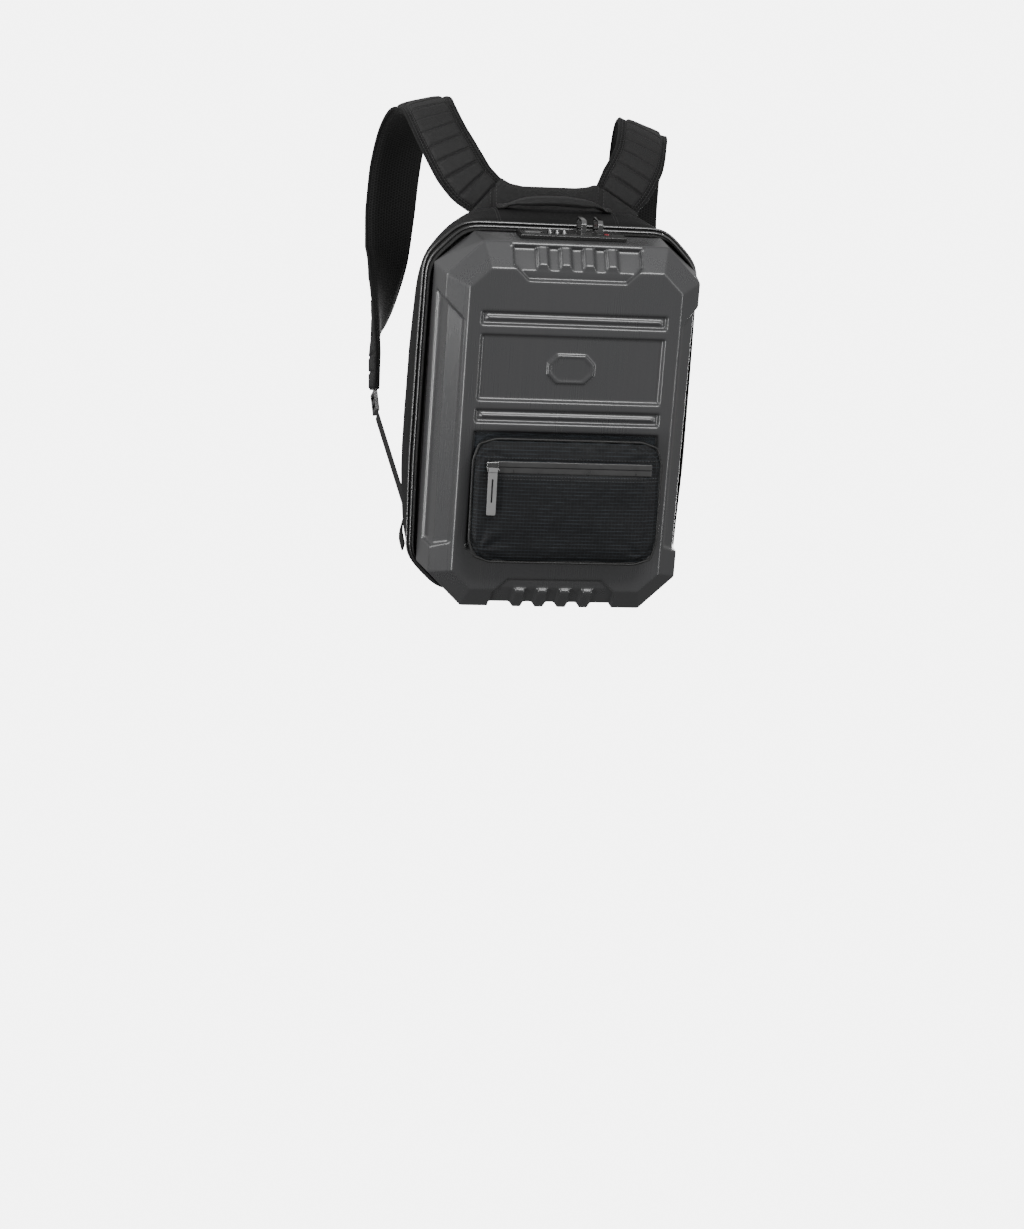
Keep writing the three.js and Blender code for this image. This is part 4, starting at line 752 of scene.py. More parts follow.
def best_order(ring):
    """The order of a ring's points in which they fit the outline best."""
    terms = np.column_stack([np.ones(len(STRAP_OUTLINE)), np.array(STRAP_OUTLINE)])
    best = None
    for backward in (False, True):
        for k in range(len(STRAP_OUTLINE)):
            order = np.roll(np.arange(len(STRAP_OUTLINE))[::-1 if backward else 1], k)
            fit, *_ = np.linalg.lstsq(terms, ring[order], rcond=None)
            error = float(np.linalg.norm(terms @ fit - ring[order]))
            if best is None or error < best[0]:
                best = (error, order)
    return best[1]


def strap_frames(node):
    """The middle, the vector across and the vector through the thickness at each ring of a strap."""
    rings = rings_of(node, len(STRAP_OUTLINE))
    steady = [i for i, (_, v) in enumerate(STRAP_OUTLINE) if v != 0.5]
    terms = np.column_stack([np.ones(len(STRAP_OUTLINE)), np.array(STRAP_OUTLINE)])
    order = best_order(rings[1])
    frames = []
    for ring in rings:
        fit, *_ = np.linalg.lstsq(terms[steady], ring[order][steady], rcond=None)
        frames.append(fit)
    return np.array(frames)


def tucked_frames(node):
    """The frames from the yoke down, closer together, with one more that is tucked into the yoke."""
    frames = strap_frames(node)
    if frames[0][0][2] < frames[-1][0][2]:
        frames = frames[::-1]
    back = frames[0][0] - frames[1][0]
    root = frames[0] + np.array([back / np.linalg.norm(back) * STRAP_TUCK, (0, 0, 0), (0, 0, 0)])
    return np.concatenate([root[None], smooth_rows(frames, ROWS_PER_RING)])


# %% [markdown]
# Across a strap lie, from its middle out, the puffed blocks, a stitched channel, a ribbed mesh edge and
# the rolled binding. A height rule gives each of them, so the quilting is real relief and not bump.

# %% Heights across a strap
# Places across the strap where the mesh edge and the binding start, as shares of its width.
PAD_START, BINDING_START = 0.352, 0.452
RINGS_PER_BLOCK = 3
BLOCK_LENGTH = 21


def binding_roll(wide):
    """Height of the rolled binding at a place across it, from 0 at its edges to 1."""
    roll = (wide - (BINDING_START + 0.5) / 2) / ((0.5 - BINDING_START) / 2)
    return math.sqrt(max(0.0, 1 - roll * roll))


def strap_top(u, block, place):
    """Height of the strap's outer side over its middle, in millimetres."""
    wide = abs(u)
    if wide > BINDING_START:
        return 1.1 + 1.5 * binding_roll(wide)
    if wide > PAD_START:
        channel = math.exp(-((wide - PAD_START) / 0.012) ** 2)
        return 1.9 - 0.7 * channel + 0.28 * math.sin(2 * math.pi * place / 2.6)
    seam = min(block, 1 - block) * BLOCK_LENGTH
    pillow = 5.9 - 1.5 * (wide / PAD_START) ** 4 - 2.9 * math.exp(-(seam / 2.3) ** 1.6)
    side = (PAD_START - wide) / 0.05
    pucker = 0.45 * math.exp(-(seam / 5.0) ** 2) * math.sin(u * 95 + 2.1 * math.sin(place * 0.11))
    return min(pillow + pucker, 1.5 + 3.4 * math.sin(min(side, 1) * math.pi / 2) + 1.0)


def strap_under(u):
    """Height of the strap's lined side over its middle, in millimetres."""
    wide = abs(u)
    if wide > BINDING_START:
        return 0.6 - 2.4 * binding_roll(wide)
    return -5.7 + 3.9 * max(0.0, (wide - 0.3) / (BINDING_START - 0.3)) ** 2.2


# %% [markdown]
# The skin's points lie closest where the section bends most: at the binding, the channel and the edges
# of the lining. Three finishes share the mesh, chosen face by face by how far out a face lies, and rows
# of stitches run down both channels and both bindings.

# %% Shoulder straps
STRAP_ACROSS = np.concatenate([
    np.linspace(-0.5, -BINDING_START, 6), np.linspace(-BINDING_START, -PAD_START, 6)[1:],
    np.linspace(-PAD_START, PAD_START, 25)[1:-1], np.linspace(PAD_START, BINDING_START, 6),
    np.linspace(BINDING_START, 0.5, 6)[1:]])
STRAP_BELOW = np.concatenate([
    np.linspace(0.494, BINDING_START, 4), np.linspace(0.42, -0.42, 15),
    np.linspace(-BINDING_START, -0.494, 4)])
STRAP_PLACES = np.concatenate([STRAP_ACROSS, STRAP_BELOW])
STITCH_ROWS = (-0.372, 0.372, -0.436, 0.436)
STITCH_SEAT = 0.15


def strap_rings(frames, through):
    middles = frames[:, 0]
    steps = np.linalg.norm(middles[1:] - middles[:-1], axis=1)
    lengths = np.concatenate([[0], np.cumsum(steps)]) / MM
    rings = []
    for i, (middle, wide, _) in enumerate(frames):
        block = (max(0, i - 1) / ROWS_PER_RING / RINGS_PER_BLOCK) % 1
        heights = [strap_top(u, block, lengths[i]) for u in STRAP_ACROSS]
        heights += [strap_under(u) for u in STRAP_BELOW]
        rings.append(middle + STRAP_PLACES[:, None] * wide + np.array(heights)[:, None] * MM * through[i])
    return np.array(rings)


def line_and_bind(mesh, rows):
    """Gives the lining and the ribbed edge their mesh, and the rolled edges their binding."""
    mesh.materials.append(SPACER)
    mesh.materials.append(BINDING)
    count = len(STRAP_PLACES)
    for face in mesh.polygons[:(rows - 1) * count]:
        column = face.index % count
        u = abs(STRAP_PLACES[column] + STRAP_PLACES[(column + 1) % count]) / 2
        if u > BINDING_START:
            face.material_index = 2
        elif column >= len(STRAP_ACROSS) or u > PAD_START:
            face.material_index = 1


def make_strap(side):
    node = "shoulder_strap_" + side
    frames = tucked_frames(node)
    through = frames[:, 2] / np.linalg.norm(frames[:, 2], axis=1)[:, None]
    rings = strap_rings(frames, through)
    made = piece("padded_strap_" + side, skin("strap_" + side, rings), STRAP_CLOTH, "bag", [node])
    line_and_bind(made.data, len(rings))
    rows = []
    for u in STITCH_ROWS:
        path = [middle + u * wide + (strap_top(u, 0.5, 0) + STITCH_SEAT) * MM * up
                for (middle, wide, _), up in zip(frames, through)]
        rows.append((path[6:-6:2], through[6:-6:2]))
    repeated("strap_stitches_" + side, rows, STITCH_PITCH, STITCH, STITCHING)
    print(made.name, "triangles:", 2 * len(made.data.polygons))


for side in ("left", "right"):
    make_strap(side)


# %% [markdown]
# Large soft panels and round cords come from the frame's rings too, but their points are first spread
# evenly and averaged a little, because a spline would swing wide where a long straight meets a corner.

# %% Even spacing
def resampled(rows, count, rounds, closed):
    """The same line or stack of rings with evenly spaced rows, averaged with their neighbours."""
    rows = np.asarray(rows, float)
    if closed:
        rows = np.concatenate([rows, rows[:1]])
    steps = np.linalg.norm(rows[1:] - rows[:-1], axis=-1)
    if steps.ndim > 1:
        steps = steps.mean(axis=1)
    run = np.concatenate([[0], np.cumsum(steps)])
    places = np.linspace(0, run[-1], count, endpoint=not closed)
    flat = rows.reshape(len(rows), -1)
    made = np.stack([np.interp(places, run, column) for column in flat.T], axis=1)
    made = made.reshape(count, *rows.shape[1:])
    for _ in range(rounds):
        blended = (np.roll(made, 1, 0) + 2 * made + np.roll(made, -1, 0)) / 4
        if not closed:
            blended[0], blended[-1] = made[0], made[-1]
        made = blended
    return made


# %% [markdown]
# A round cord needs only its centre line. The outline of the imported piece, seen from the front, gives
# that line: the hull of its points, moved inward by the cord's radius. Slack in cloth is a small move
# of each vertex along its normal.

# %% Outlines, cords and slack
def points_of(node):
    return np.array([tuple(v.co) for v in NODES[node].data.vertices])


def outline_of(node, inward, count, rounds=2):
    """The outline of a piece seen from the front, moved inward, as an even loop of points."""
    points = points_of(node)
    flat = sorted({(round(x, 5), round(z, 5)) for x, _, z in points})

    def half(ordered):
        chain = []
        for p in ordered:
            while len(chain) > 1 and (
                    (chain[-1][0] - chain[-2][0]) * (p[1] - chain[-2][1])
                    - (chain[-1][1] - chain[-2][1]) * (p[0] - chain[-2][0])) <= 0:
                chain.pop()
            chain.append(p)
        return chain[:-1]

    hull = np.array(half(flat) + half(flat[::-1]))
    lean = np.polyfit(points[:, 2], points[:, 1], 1)
    loop = np.column_stack([hull[:, 0], np.polyval(lean, hull[:, 1]), hull[:, 1]])
    loop = resampled(loop, count, rounds, True)
    return loop - outward_of(loop) * inward


def outward_of(loop):
    """Outward directions of a loop that runs counter-clockwise seen from the front."""
    tangent = np.roll(loop, -1, 0) - np.roll(loop, 1, 0)
    side = np.column_stack([tangent[:, 2], np.zeros(len(loop)), -tangent[:, 0]])
    return side / np.linalg.norm(side, axis=1)[:, None]


def cord(name, loop, radius, material, replaced=(), sides=14):
    """A round cord along a loop."""
    side = outward_of(loop)
    depth = np.array([0, 1, 0])
    angles = np.linspace(0, 2 * math.pi, sides, endpoint=False)
    rings = [p + radius * (np.cos(angles)[:, None] * s + np.sin(angles)[:, None] * depth)
             for p, s in zip(loop, side)]
    piece(name, skin(name, rings, loop=True), material, "bag", replaced)


def stir(mesh, amount):
    """Moves each vertex along its normal by what the rule gives, in metres."""
    ways = [v.normal.copy() for v in mesh.vertices]
    for vertex, way in zip(mesh.vertices, ways):
        vertex.co += way * amount(vertex.co)
    mesh.update()


# %% [markdown]
# A seam is drawn as a line that stands off the finished piece. Rays cast from it find the surface, so
# its stitches follow every fold that the cloth has.

# %% Seams sewn on a surface
SEAM_STEP = 2.5
STITCH_LIFT = 0.0001


def spaced(points):
    """Points every few millimetres along a line."""
    out = []
    for a, b in zip(points, points[1:]):
        a, b = Vector(a), Vector(b)
        n = max(1, round((b - a).length / SEAM_STEP))
        out += [a.lerp(b, k / n) for k in range(n)]
    return out + [Vector(points[-1])]


def sewn(name, made, lines, way):
    """Stitches where lines of bag places, cast in one direction, meet a finished piece."""
    mesh = made.data
    tree = BVHTree.FromPolygons([v.co for v in mesh.vertices], [f.vertices for f in mesh.polygons])
    paths = []
    for line in lines:
        hits = [tree.ray_cast(at(*p), Vector(way)) for p in spaced(line)]
        hits = [(place + normal * STITCH_LIFT, normal) for place, normal, _, _ in hits if place]
        if len(hits) > 1:
            paths.append(([h[0] for h in hits], [h[1] for h in hits]))
    repeated(name, paths, STITCH_PITCH, STITCH, STITCHING)


# %% [markdown]
# The soft rear half is one bag of coated cloth over foam. Its panels are nearly flat, with slack of
# about a millimetre, and its edge runs under the glossy piping.

# %% Soft rear half
ROUND_THE_BAG = 220
SLACK_START, SLACK_DEPTH = 104, 0.02
ABOVE_BAG = 300
body_rings = [resampled(ring, ROUND_THE_BAG, 3, True) for ring in rings_of("back_body")]
body_mesh = skin("soft_body", resampled(body_rings, 70, 1, False))


def body_slack(place):
    deep = min(1.0, max(0.0, (place.y - at(0, SLACK_START, 0).y) / SLACK_DEPTH))
    slow = noise.noise(Vector((place.x * 14, place.y * 30, place.z * 14)))
    quick = noise.noise(place * 55)
    return deep * (0.0009 * slow + 0.0003 * quick)


stir(body_mesh, body_slack)
lay_weave(body_mesh)
soft_body = piece("soft_body", body_mesh, BODY_CLOTH, "bag", ["back_body"])
top_seams = [[(x, y, ABOVE_BAG) for y in (108, 184)] for x in (-76, -73, 63, 66)]
sewn("body_stitches", soft_body, top_seams, (0, 0, -1))

# %% [markdown]
# Shell and rear half meet at the main zip. Two glossy pipings run round behind it, and a flat band of
# tape between them closes the seam. The zip's teeth are small bars set along its outline.

# %% Main zip and the two glossy pipings
PIPE_RADIUS = 0.0020
BAND_INSET, BAND_THICKNESS = 0.0034, 0.0008
BAND_FRONT, BAND_BACK = 80.3, 110
TOOTH_INSET = 0.0004
for node in ("rim_piping", "body_piping"):
    pipe_loop = outline_of(node, PIPE_RADIUS, ROUND_THE_BAG)
    cord("glossy_" + node, pipe_loop, PIPE_RADIUS, PIPING, [node])
tape = NODES["main_zip"].data.copy()
bulk = merged("main_zip")
bulk.to_mesh(tape)
bulk.free()
lay_weave(tape)
piece("zip_tape", tape, ZIP_TAPE, "bag", ["main_zip"], sharp=30)
band_loop = outline_of("rim_piping", BAND_INSET, ROUND_THE_BAG)
band_side = outward_of(band_loop)
band_rings = []
for inward, y in (
        (0, BAND_FRONT), (0, BAND_BACK), (BAND_THICKNESS, BAND_BACK), (BAND_THICKNESS, BAND_FRONT)):
    ring = band_loop - band_side * inward
    ring[:, 1] = at(0, y, 0).y
    band_rings.append(ring)
band_mesh = skin("seam_band", np.swapaxes(np.array(band_rings), 0, 1), loop=True)
piece("seam_band", band_mesh, ZIP_TAPE, "bag", sharp=30)
teeth_loop = outline_of("main_zip", TOOTH_INSET, ROUND_THE_BAG)
teeth_path = [(teeth_loop, outward_of(teeth_loop))]
repeated("zip_teeth", teeth_path, TOOTH_PITCH, TOOTH, PLASTIC, closed=True)

# %% [markdown]
# The front pocket is thin ripstop over a little wadding. A stack of rounded sections, each standing
# further out than the next, gives its form: the front is fuller at its foot than at its top.

# %% Form of the front pocket
# How far each section stands out, its half width, and how much its top and bottom move, as shares.
POCKET_SECTIONS = [
    (1.12, 0.5, -0.33, 0.3), (1.06, 0.83, -0.13, 0.12), (0.97, 0.955, -0.045, 0.04), (0.85, 1, 0, 0),
    (0.55, 0.996, 0.018, 0.008), (0.25, 0.983, 0.012, 0.03), (0, 0.965, -0.01, 0.06),
]
POCKET_HALF_WIDTH, POCKET_TOP, POCKET_HEIGHT = 107.5, -5, 138.5
POCKET_ROUND, POCKET_SEAT = 26, 4.2
POCKET_DEPTH, POCKET_FULLER = 24, 12
POCKET_CROWN = 0.0012


def pocket_ring(reach, side, top, bottom):
    half, corner = side * POCKET_HALF_WIDTH, POCKET_ROUND * side
    high = POCKET_TOP + top * POCKET_HEIGHT
    low = POCKET_TOP - POCKET_HEIGHT + bottom * POCKET_HEIGHT
    points = []
    for x, z, first, second in ((half, high, (0, -1), (-1, 0)), (-half, high, (1, 0), (0, -1)),
                                (-half, low, (0, 1), (1, 0)), (half, low, (-1, 0), (0, 1))):
        for t in np.linspace(0, 1, 9):
            a, b = corner * (1 - t) ** 2, corner * t * t
            points.append((x + a * first[0] + b * second[0], z + a * first[1] + b * second[1]))
    ring = []
    for x, z in points:
        deep = POCKET_DEPTH + POCKET_FULLER * (POCKET_TOP - z) / POCKET_HEIGHT + POCKET_SEAT
        ring.append(tuple(at(x, POCKET_SEAT - reach * deep, z)))
    return resampled(ring, 200, 1, True)


def filled_in(rings, shares, crown):
    """Adds rings inside the first one, down to a small middle, raised by a crown."""
    rings = np.array(rings)
    middle = rings[0].mean(axis=0)
    inner = [middle + (rings[0] - middle) * s + np.array(crown) * (1 - s * s) for s in shares]
    return np.concatenate([inner, rings])


pocket_rings = [pocket_ring(*row) for row in POCKET_SECTIONS]
pocket_rings = filled_in(pocket_rings, (0.02, 0.2, 0.4, 0.6, 0.8), (0, -POCKET_CROWN, 0))
pocket_mesh = skin("ripstop_pocket", resampled(pocket_rings, 130, 1, False))
print("pocket faces:", len(pocket_mesh.polygons))

# %% [markdown]
# The pocket's gusset and corners pull into short creases, and its middle bulges. The cloth is held flat
# where the zip strip is taped to it. All of this is one rule that moves each vertex along its normal.

# %% Slack and creases of the front pocket
# Place, height and number of the creases that run out of each corner.
CREASE_CORNERS = [
    (-98, -132, 0.0010, 7), (94, -134, 0.0007, 6), (-95, -16, 0.0006, 7), (96, -14, 0.0008, 6)]
BULGE, RIPPLE, GUSSET_FOLD, STRIP_SINK = 0.0010, 0.00035, 0.0012, 0.0016


def pocket_slack(place):
    x, y, z = (place - at(0, 0, 0)) / MM
    proud = min(1.0, max(0.0, (3 - y) / 8))
    amount = BULGE * noise.noise(Vector((x * 0.016, z * 0.03, 3))) + RIPPLE * noise.noise(place * 90)
    for corner_x, corner_z, height, count in CREASE_CORNERS:
        away = math.hypot(x - corner_x, z - corner_z)
        turn = math.atan2(z - corner_z, x - corner_x)
        amount += height * math.exp(-((away - 14) / 22) ** 2) * math.sin(turn * count + away * 0.06)
    gusset = math.exp(-((z + 7) / 5) ** 2) * math.exp(-((x - 40) / 60) ** 2)
    amount += GUSSET_FOLD * gusset * math.sin(x * 0.21)
    near_zip = math.exp(-((z - STRIP_MIDDLE) / 9) ** 4) * math.exp(-((x - 3.8) / 97) ** 10)
    return proud * (amount * (1 - near_zip) - STRIP_SINK * near_zip)


stir(pocket_mesh, pocket_slack)
lay_weave(pocket_mesh)
pocket = piece("ripstop_pocket", pocket_mesh, RIPSTOP, "bag", ["front_pocket"])

# %% [markdown]
# A flat sheet of the pocket's dark cloth lies behind it as painted shade: it darkens the pocket's
# corners. A covered cord runs round its edge, and rows of stitches hold the zip strip.

# %% Painted shade at the corners, edge and stitches of the front pocket
SHADE_SHEET_HALF, SHADE_SHEET_TOP, SHADE_SHEET_BOTTOM = 106.2, -1.4, -137.6
SHADE_SHEET_BACK, SHADE_SHEET_FRONT = 4.25, 4.0
EDGE_CORD = 0.0015
ZIP_LEFT, ZIP_RIGHT, FRONT_OF_POCKET = -96, 103, -90
ABOVE_ZIP, BELOW_ZIP = -23.5, (-43.5, -47.0)
TACK_X, TACK_TOP, TACK_BOTTOM = -92, -22, -46
shade_sheet_corners = [
    (-SHADE_SHEET_HALF, SHADE_SHEET_BOTTOM), (SHADE_SHEET_HALF, SHADE_SHEET_BOTTOM), (SHADE_SHEET_HALF, SHADE_SHEET_TOP), (-SHADE_SHEET_HALF, SHADE_SHEET_TOP)]
shade_sheet_rings = [[tuple(at(x, y, z)) for x, z in shade_sheet_corners] for y in (SHADE_SHEET_BACK, SHADE_SHEET_FRONT)]
# Painted shade: this dark sheet darkens the corners round the pocket.
piece("pocket_seat_cloth", skin("pocket_seat_cloth", shade_sheet_rings), RIPSTOP, "bag", sharp=30)
pocket_loop = outline_of("pocket_piping", EDGE_CORD, 200, 1)
cord("pocket_edge_piping", pocket_loop, EDGE_CORD, POCKET_CORD, ["pocket_piping"], 12)
pocket_seams = [[(x, FRONT_OF_POCKET, z) for x in (ZIP_LEFT, ZIP_RIGHT)] for z in (*BELOW_ZIP, ABOVE_ZIP)]
pocket_seams.append([(TACK_X, FRONT_OF_POCKET, z) for z in (TACK_TOP, TACK_BOTTOM)])
sewn("pocket_stitches", pocket, pocket_seams, (0, 1, 0))

# %% [markdown]
# The carry handle is a rolled, padded grip that is flattened and sewn down at both ends with a boxed
# cross. Slow noise along it stands for the way a filled tube of cloth wrinkles.

# %% Carry handle
HANDLE_MIDDLE = -5
BOX_INNER, BOX_OUTER, BOX_FRONT, BOX_BACK = 57, 64.5, 131, 156
HANDLE_WRINKLE = 0.0005


def handle_slack(place):
    return HANDLE_WRINKLE * noise.noise(Vector((place.x * 70, place.y * 25, place.z * 60)))


handle_rings = [resampled(ring, 40, 2, True) for ring in rings_of("carry_handle")]
handle_mesh = skin("padded_handle", resampled(handle_rings, 90, 2, False))
stir(handle_mesh, handle_slack)
handle = piece("padded_handle", handle_mesh, STRAP_CLOTH, "bag", ["carry_handle"])
boxes = []
for side in (-1, 1):
    near, far = HANDLE_MIDDLE + side * BOX_INNER, HANDLE_MIDDLE + side * BOX_OUTER
    a, b, c, d = [(x, y, ABOVE_BAG) for x, y in (
        (near, BOX_FRONT), (far, BOX_FRONT), (far, BOX_BACK), (near, BOX_BACK))]
    boxes += [[a, b, c, d, a], [a, c], [d, b]]
sewn("handle_stitches", handle, boxes, (0, 0, -1))

# %% [markdown]
# The yoke that the straps grow from is padded in three parts. Two upright seams pull a groove into it,
# beside which the middle part stands a little proud, and each groove has a row of stitches down both
# sides. The grooves are vertex moves on the rounded piece, because the voxels would have lost them.

# %% Seams of the yoke
YOKE_SEAM, SEAM_GAP = 64.5, 3.5
GROOVE_DEPTH, GROOVE_HALF, YOKE_SWELL = 0.0016, 2.0, 0.0008
YOKE_MIDDLE, YOKE_LOW, YOKE_HIGH = 243, 228, 262
FRONT_OF_YOKE = 60


def yoke_groove(place):
    x, _, z = (place - at(0, 0, 0)) / MM
    away = abs(abs(x - HANDLE_MIDDLE) - YOKE_SEAM)
    middle = math.exp(-((x - HANDLE_MIDDLE) / 52) ** 8) * math.exp(-((z - YOKE_MIDDLE) / 16) ** 4)
    return -GROOVE_DEPTH * math.exp(-(away / GROOVE_HALF) ** 2) + YOKE_SWELL * middle


stir(small["strap_yoke"].data, yoke_groove)
yoke_seams = [
    [(HANDLE_MIDDLE + side * x, FRONT_OF_YOKE, z) for z in (YOKE_LOW, YOKE_HIGH)]
    for side in (-1, 1) for x in (YOKE_SEAM - SEAM_GAP, YOKE_SEAM + SEAM_GAP)]
sewn("yoke_stitches", small["strap_yoke"], yoke_seams, (0, 1, 0))

# %% [markdown]
# No view in the photograph shows the back, so its pad stays plain: spacer mesh over foam, bound
# round its edge.

# %% Back pad
PAD_CROWN = 0.0018
PAD_BINDING = 0.0018
BINDING_INSET = 0.0006
PAD_EDGE = 192.4
pad_rings = rings_of("back_pad")
if pad_rings[0].mean(axis=0)[1] < pad_rings[-1].mean(axis=0)[1]:
    pad_rings = pad_rings[::-1]
pad_rings = np.array([resampled(ring, 200, 3, True) for ring in pad_rings])
pad_rings = filled_in(pad_rings, (0.02, 0.2, 0.4, 0.6, 0.8, 0.93), (0, PAD_CROWN, 0))
pad_mesh = skin("back_pad_mesh", resampled(pad_rings, 60, 1, False))
lay_weave(pad_mesh)
pad = piece("padded_back", pad_mesh, SPACER, "bag", ["back_pad"])
pad_loop = outline_of("back_pad", BINDING_INSET, 200, 3)
pad_loop[:, 1] = at(0, PAD_EDGE, 0).y
cord("pad_binding", pad_loop, PAD_BINDING, BINDING)
print("padded_back faces:", len(pad.data.polygons))

# %% [markdown]
# Each number wheel turns with its own body, so its figures ride with it. The figures are plain digits
# made from a text object, and a profile with two knurled rims is swept round the axle.

# %% Digits
DIGIT_SIZE = 0.0037
DIGIT_DEPTH = 0.00006


def digit_mesh(text):
    curve = bpy.data.curves.new("digit_" + text, "FONT")
    curve.body = text
    curve.size = DIGIT_SIZE
    curve.extrude = DIGIT_DEPTH
    curve.resolution_u = 3
    curve.align_x = curve.align_y = "CENTER"
    holder = bpy.data.objects.new("digit_" + text, curve)
    bpy.context.scene.collection.objects.link(holder)
    mesh = bpy.data.meshes.new_from_object(holder.evaluated_get(bpy.context.evaluated_depsgraph_get()))
    bpy.data.objects.remove(holder)
    bpy.data.curves.remove(curve)
    return mesh


DIGITS = [digit_mesh(str(k)) for k in range(10)]
print("faces of each digit:", [len(mesh.polygons) for mesh in DIGITS])

# %% [markdown]
# A wheel's rims are knurled for the thumb, and its waist carries the figures. A ring of points at each
# place along the axle makes both: the rims' rings step in and out, and the waist's are round.

# %% Number wheels
# Places along the axle and radii, as shares of the wheel's half width and radius.
HALF_PROFILE = [(0.56, 0.95), (0.66, 1), (0.92, 0.97), (1, 0.84)]
WHEEL_PROFILE = [(-place, share) for place, share in HALF_PROFILE[::-1]] + HALF_PROFILE
RIM_START = 0.6
WHEEL_SIDES = 80
KNURL_DEPTH = 0.035
DIGIT_SEAT = 0.955


def wheel_rings(middle, half, radius):
    angles = np.linspace(0, 2 * math.pi, WHEEL_SIDES, endpoint=False)
    knurls = 1 - KNURL_DEPTH * (np.arange(WHEEL_SIDES) % 4 > 1)
    rings = []
    for place, share in WHEEL_PROFILE:
        reach = radius * share * (knurls if abs(place) > RIM_START else np.ones(WHEEL_SIDES))
        rings.append(np.column_stack([
            np.full(WHEEL_SIDES, middle[0] + place * half),
            middle[1] + reach * np.cos(angles), middle[2] + reach * np.sin(angles)]))
    return rings


def wheel_figures(name, middle, radius, first):
    """The ten digits set round a wheel, each wheel starting at its own one."""
    figures = bmesh.new()
    for k, digit in enumerate(DIGITS):
        turn = Matrix.Rotation(2 * math.pi * (k + first) / 10, 4, "X")
        lift = Matrix.Translation((0, 0, radius * DIGIT_SEAT))
        seen = set(figures.verts)
        figures.from_mesh(digit)
        fresh = [v for v in figures.verts if v not in seen]
        bmesh.ops.transform(figures, matrix=Matrix.Translation(middle) @ turn @ lift, verts=fresh)
    mesh = bpy.data.meshes.new(name)
    figures.to_mesh(mesh)
    figures.free()
    return mesh


for number in (1, 2, 3):
    node, body = "lock_dial_%d" % number, "dial_%d" % number
    points = points_of(node)
    low, high = points.min(axis=0), points.max(axis=0)
    middle, (half, _, radius) = (low + high) / 2, (high - low) / 2
    wheel_name, figures_name = "number_wheel_%d" % number, "wheel_figures_%d" % number
    wheel = skin(wheel_name, wheel_rings(middle, half, radius))
    piece(wheel_name, wheel, PLASTIC, body, [node], sharp=40)
    piece(figures_name, wheel_figures(figures_name, middle, radius, number), DIGIT, body, sharp=30)
    print(wheel_name, "radius in mm:", round(radius / MM, 2))

# %% [markdown]
# The stitch and the tooth were only patterns to copy from, so they leave the scene. By now each node of
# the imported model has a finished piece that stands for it.

# %% Put away the patterns
for copy in (STITCH, TOOTH):
    bpy.data.objects.remove(copy)
print("nodes that still show:", [name for name, node in NODES.items() if not node.hide_render])

# %% [markdown]
# The photograph's ground is plain white with no shadow, so the camera sees white behind the bag. What
# lights the bag is a dome that is bright overhead and dim from the front and below.

# %% Surround
DOME_FROM, DOME_TO = (-0.5, 1.0), (0.17, 0.75)
WHITE = 6.0
world = bpy.data.worlds.new("studio")
world.use_nodes = True
sky = world.node_tree
sky_nodes = sky.nodes


def sky_node(kind, **inputs):
    node = sky_nodes.new(kind)
    for key, value in inputs.items():
        node.inputs[key.replace("_", " ")].default_value = value
    return node


dome = sky_nodes["Background"]
white = sky_node("ShaderNodeBackground", Strength=WHITE)
for background in (dome, white):
    background.inputs["Color"].default_value = (1, 1, 1, 1)
way = sky_node("ShaderNodeTexCoord")
parts = sky_node("ShaderNodeSeparateXYZ")
slope = sky_node(
    "ShaderNodeMapRange",
    From_Min=DOME_FROM[0], From_Max=DOME_FROM[1], To_Min=DOME_TO[0], To_Max=DOME_TO[1])
mix, ray = sky_node("ShaderNodeMixShader"), sky_node("ShaderNodeLightPath")
for a, b in (
    (way.outputs["Generated"], parts.inputs[0]),
    (parts.outputs["Z"], slope.inputs["Value"]),
    (slope.outputs[0], dome.inputs["Strength"]),
    (ray.outputs["Is Camera Ray"], mix.inputs[0]),
    (dome.outputs[0], mix.inputs[1]),
    (white.outputs[0], mix.inputs[2]),
    (mix.outputs[0], sky_nodes["World Output"].inputs["Surface"]),
):
    sky.links.new(a, b)
bpy.context.scene.world = world
print("surround nodes:", len(sky_nodes))

# %% [markdown]
# The floor glows as white as the surround does, and only the camera sees it, so it throws no light up
# into the hollows. It lies well below the bag, which hangs at the height at which it is worn.

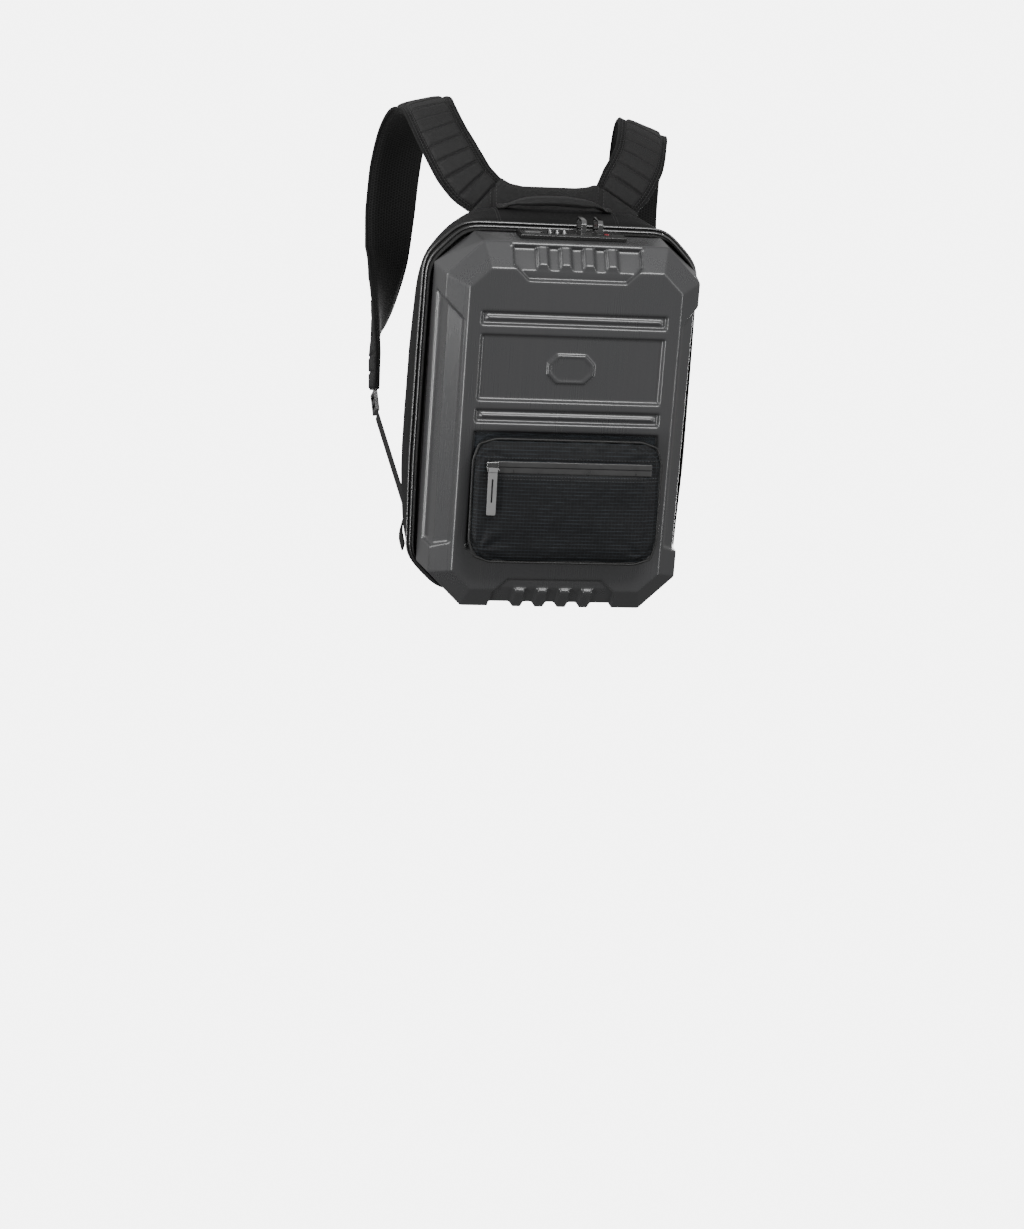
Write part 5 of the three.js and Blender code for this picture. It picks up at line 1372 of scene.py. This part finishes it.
# %% Floor
FLOOR_HEIGHT, FLOOR_REACH = -1.5, 30.0
floor_finish = bpy.data.materials.new("white_floor")
floor_finish.use_nodes = True
floor_finish.cycles.emission_sampling = "NONE"
floor_nodes = floor_finish.node_tree.nodes
glow = floor_nodes.new("ShaderNodeEmission")
glow.inputs["Strength"].default_value = WHITE
floor_finish.node_tree.links.new(glow.outputs[0], floor_nodes["Material Output"].inputs["Surface"])
corners = [
    (x * FLOOR_REACH, y * FLOOR_REACH, FLOOR_HEIGHT) for x, y in ((-1, -1), (1, -1), (1, 1), (-1, 1))]
floor_mesh = bpy.data.meshes.new("floor")
floor_mesh.from_pydata(corners, [], [(0, 1, 2, 3)])
floor_mesh.materials.append(floor_finish)
floor = bpy.data.objects.new("floor", floor_mesh)
floor.visible_diffuse = floor.visible_glossy = floor.visible_shadow = False
bpy.context.scene.collection.objects.link(floor)
print("floor at:", FLOOR_HEIGHT, "m")

# %% [markdown]
# A large soft light above and panels at the sides make the upward and left edges shine, and the hollows
# stay dark. The camera looks down, so upright faces mirror what is low: the side strips reach down
# below the bag for them. A weak fill at the right opens the shadow side.

# %% Lights
BAG_MIDDLE = FACE_MIDDLE + Vector((0, 0.1, 0))
# Name, place from the bag's middle, width and height in metres, and power in watts.
LIGHTS = [
    ("overhead", (0.3, -1.6, 1.65), 1.0, 0.7, 50),
    ("left_panel", (-2.2, 0.1, 0.6), 0.9, 1.8, 42),
    ("left_strip", (-2.1, -1.7, -0.35), 0.3, 2.0, 60),
    ("right_strip", (2.1, -1.6, -0.45), 0.2, 1.6, 22),
    ("rear_panel", (0.9, 2.3, -0.6), 1.4, 1.0, 55),
    ("right_fill", (1.8, -1.6, 1.0), 0.8, 1.6, 12),
]


def area_light(name, away, wide, tall, power):
    light = bpy.data.objects.new(name, bpy.data.lights.new(name, "AREA"))
    light.data.shape = "RECTANGLE"
    light.data.size, light.data.size_y = wide, tall
    light.data.energy = power
    light.location = BAG_MIDDLE + Vector(away)
    light.rotation_mode = "QUATERNION"
    light.rotation_quaternion = (-Vector(away)).to_track_quat("-Z", "Y")
    bpy.context.scene.collection.objects.link(light)


for row in LIGHTS:
    area_light(*row)
print("lights:", len(LIGHTS))
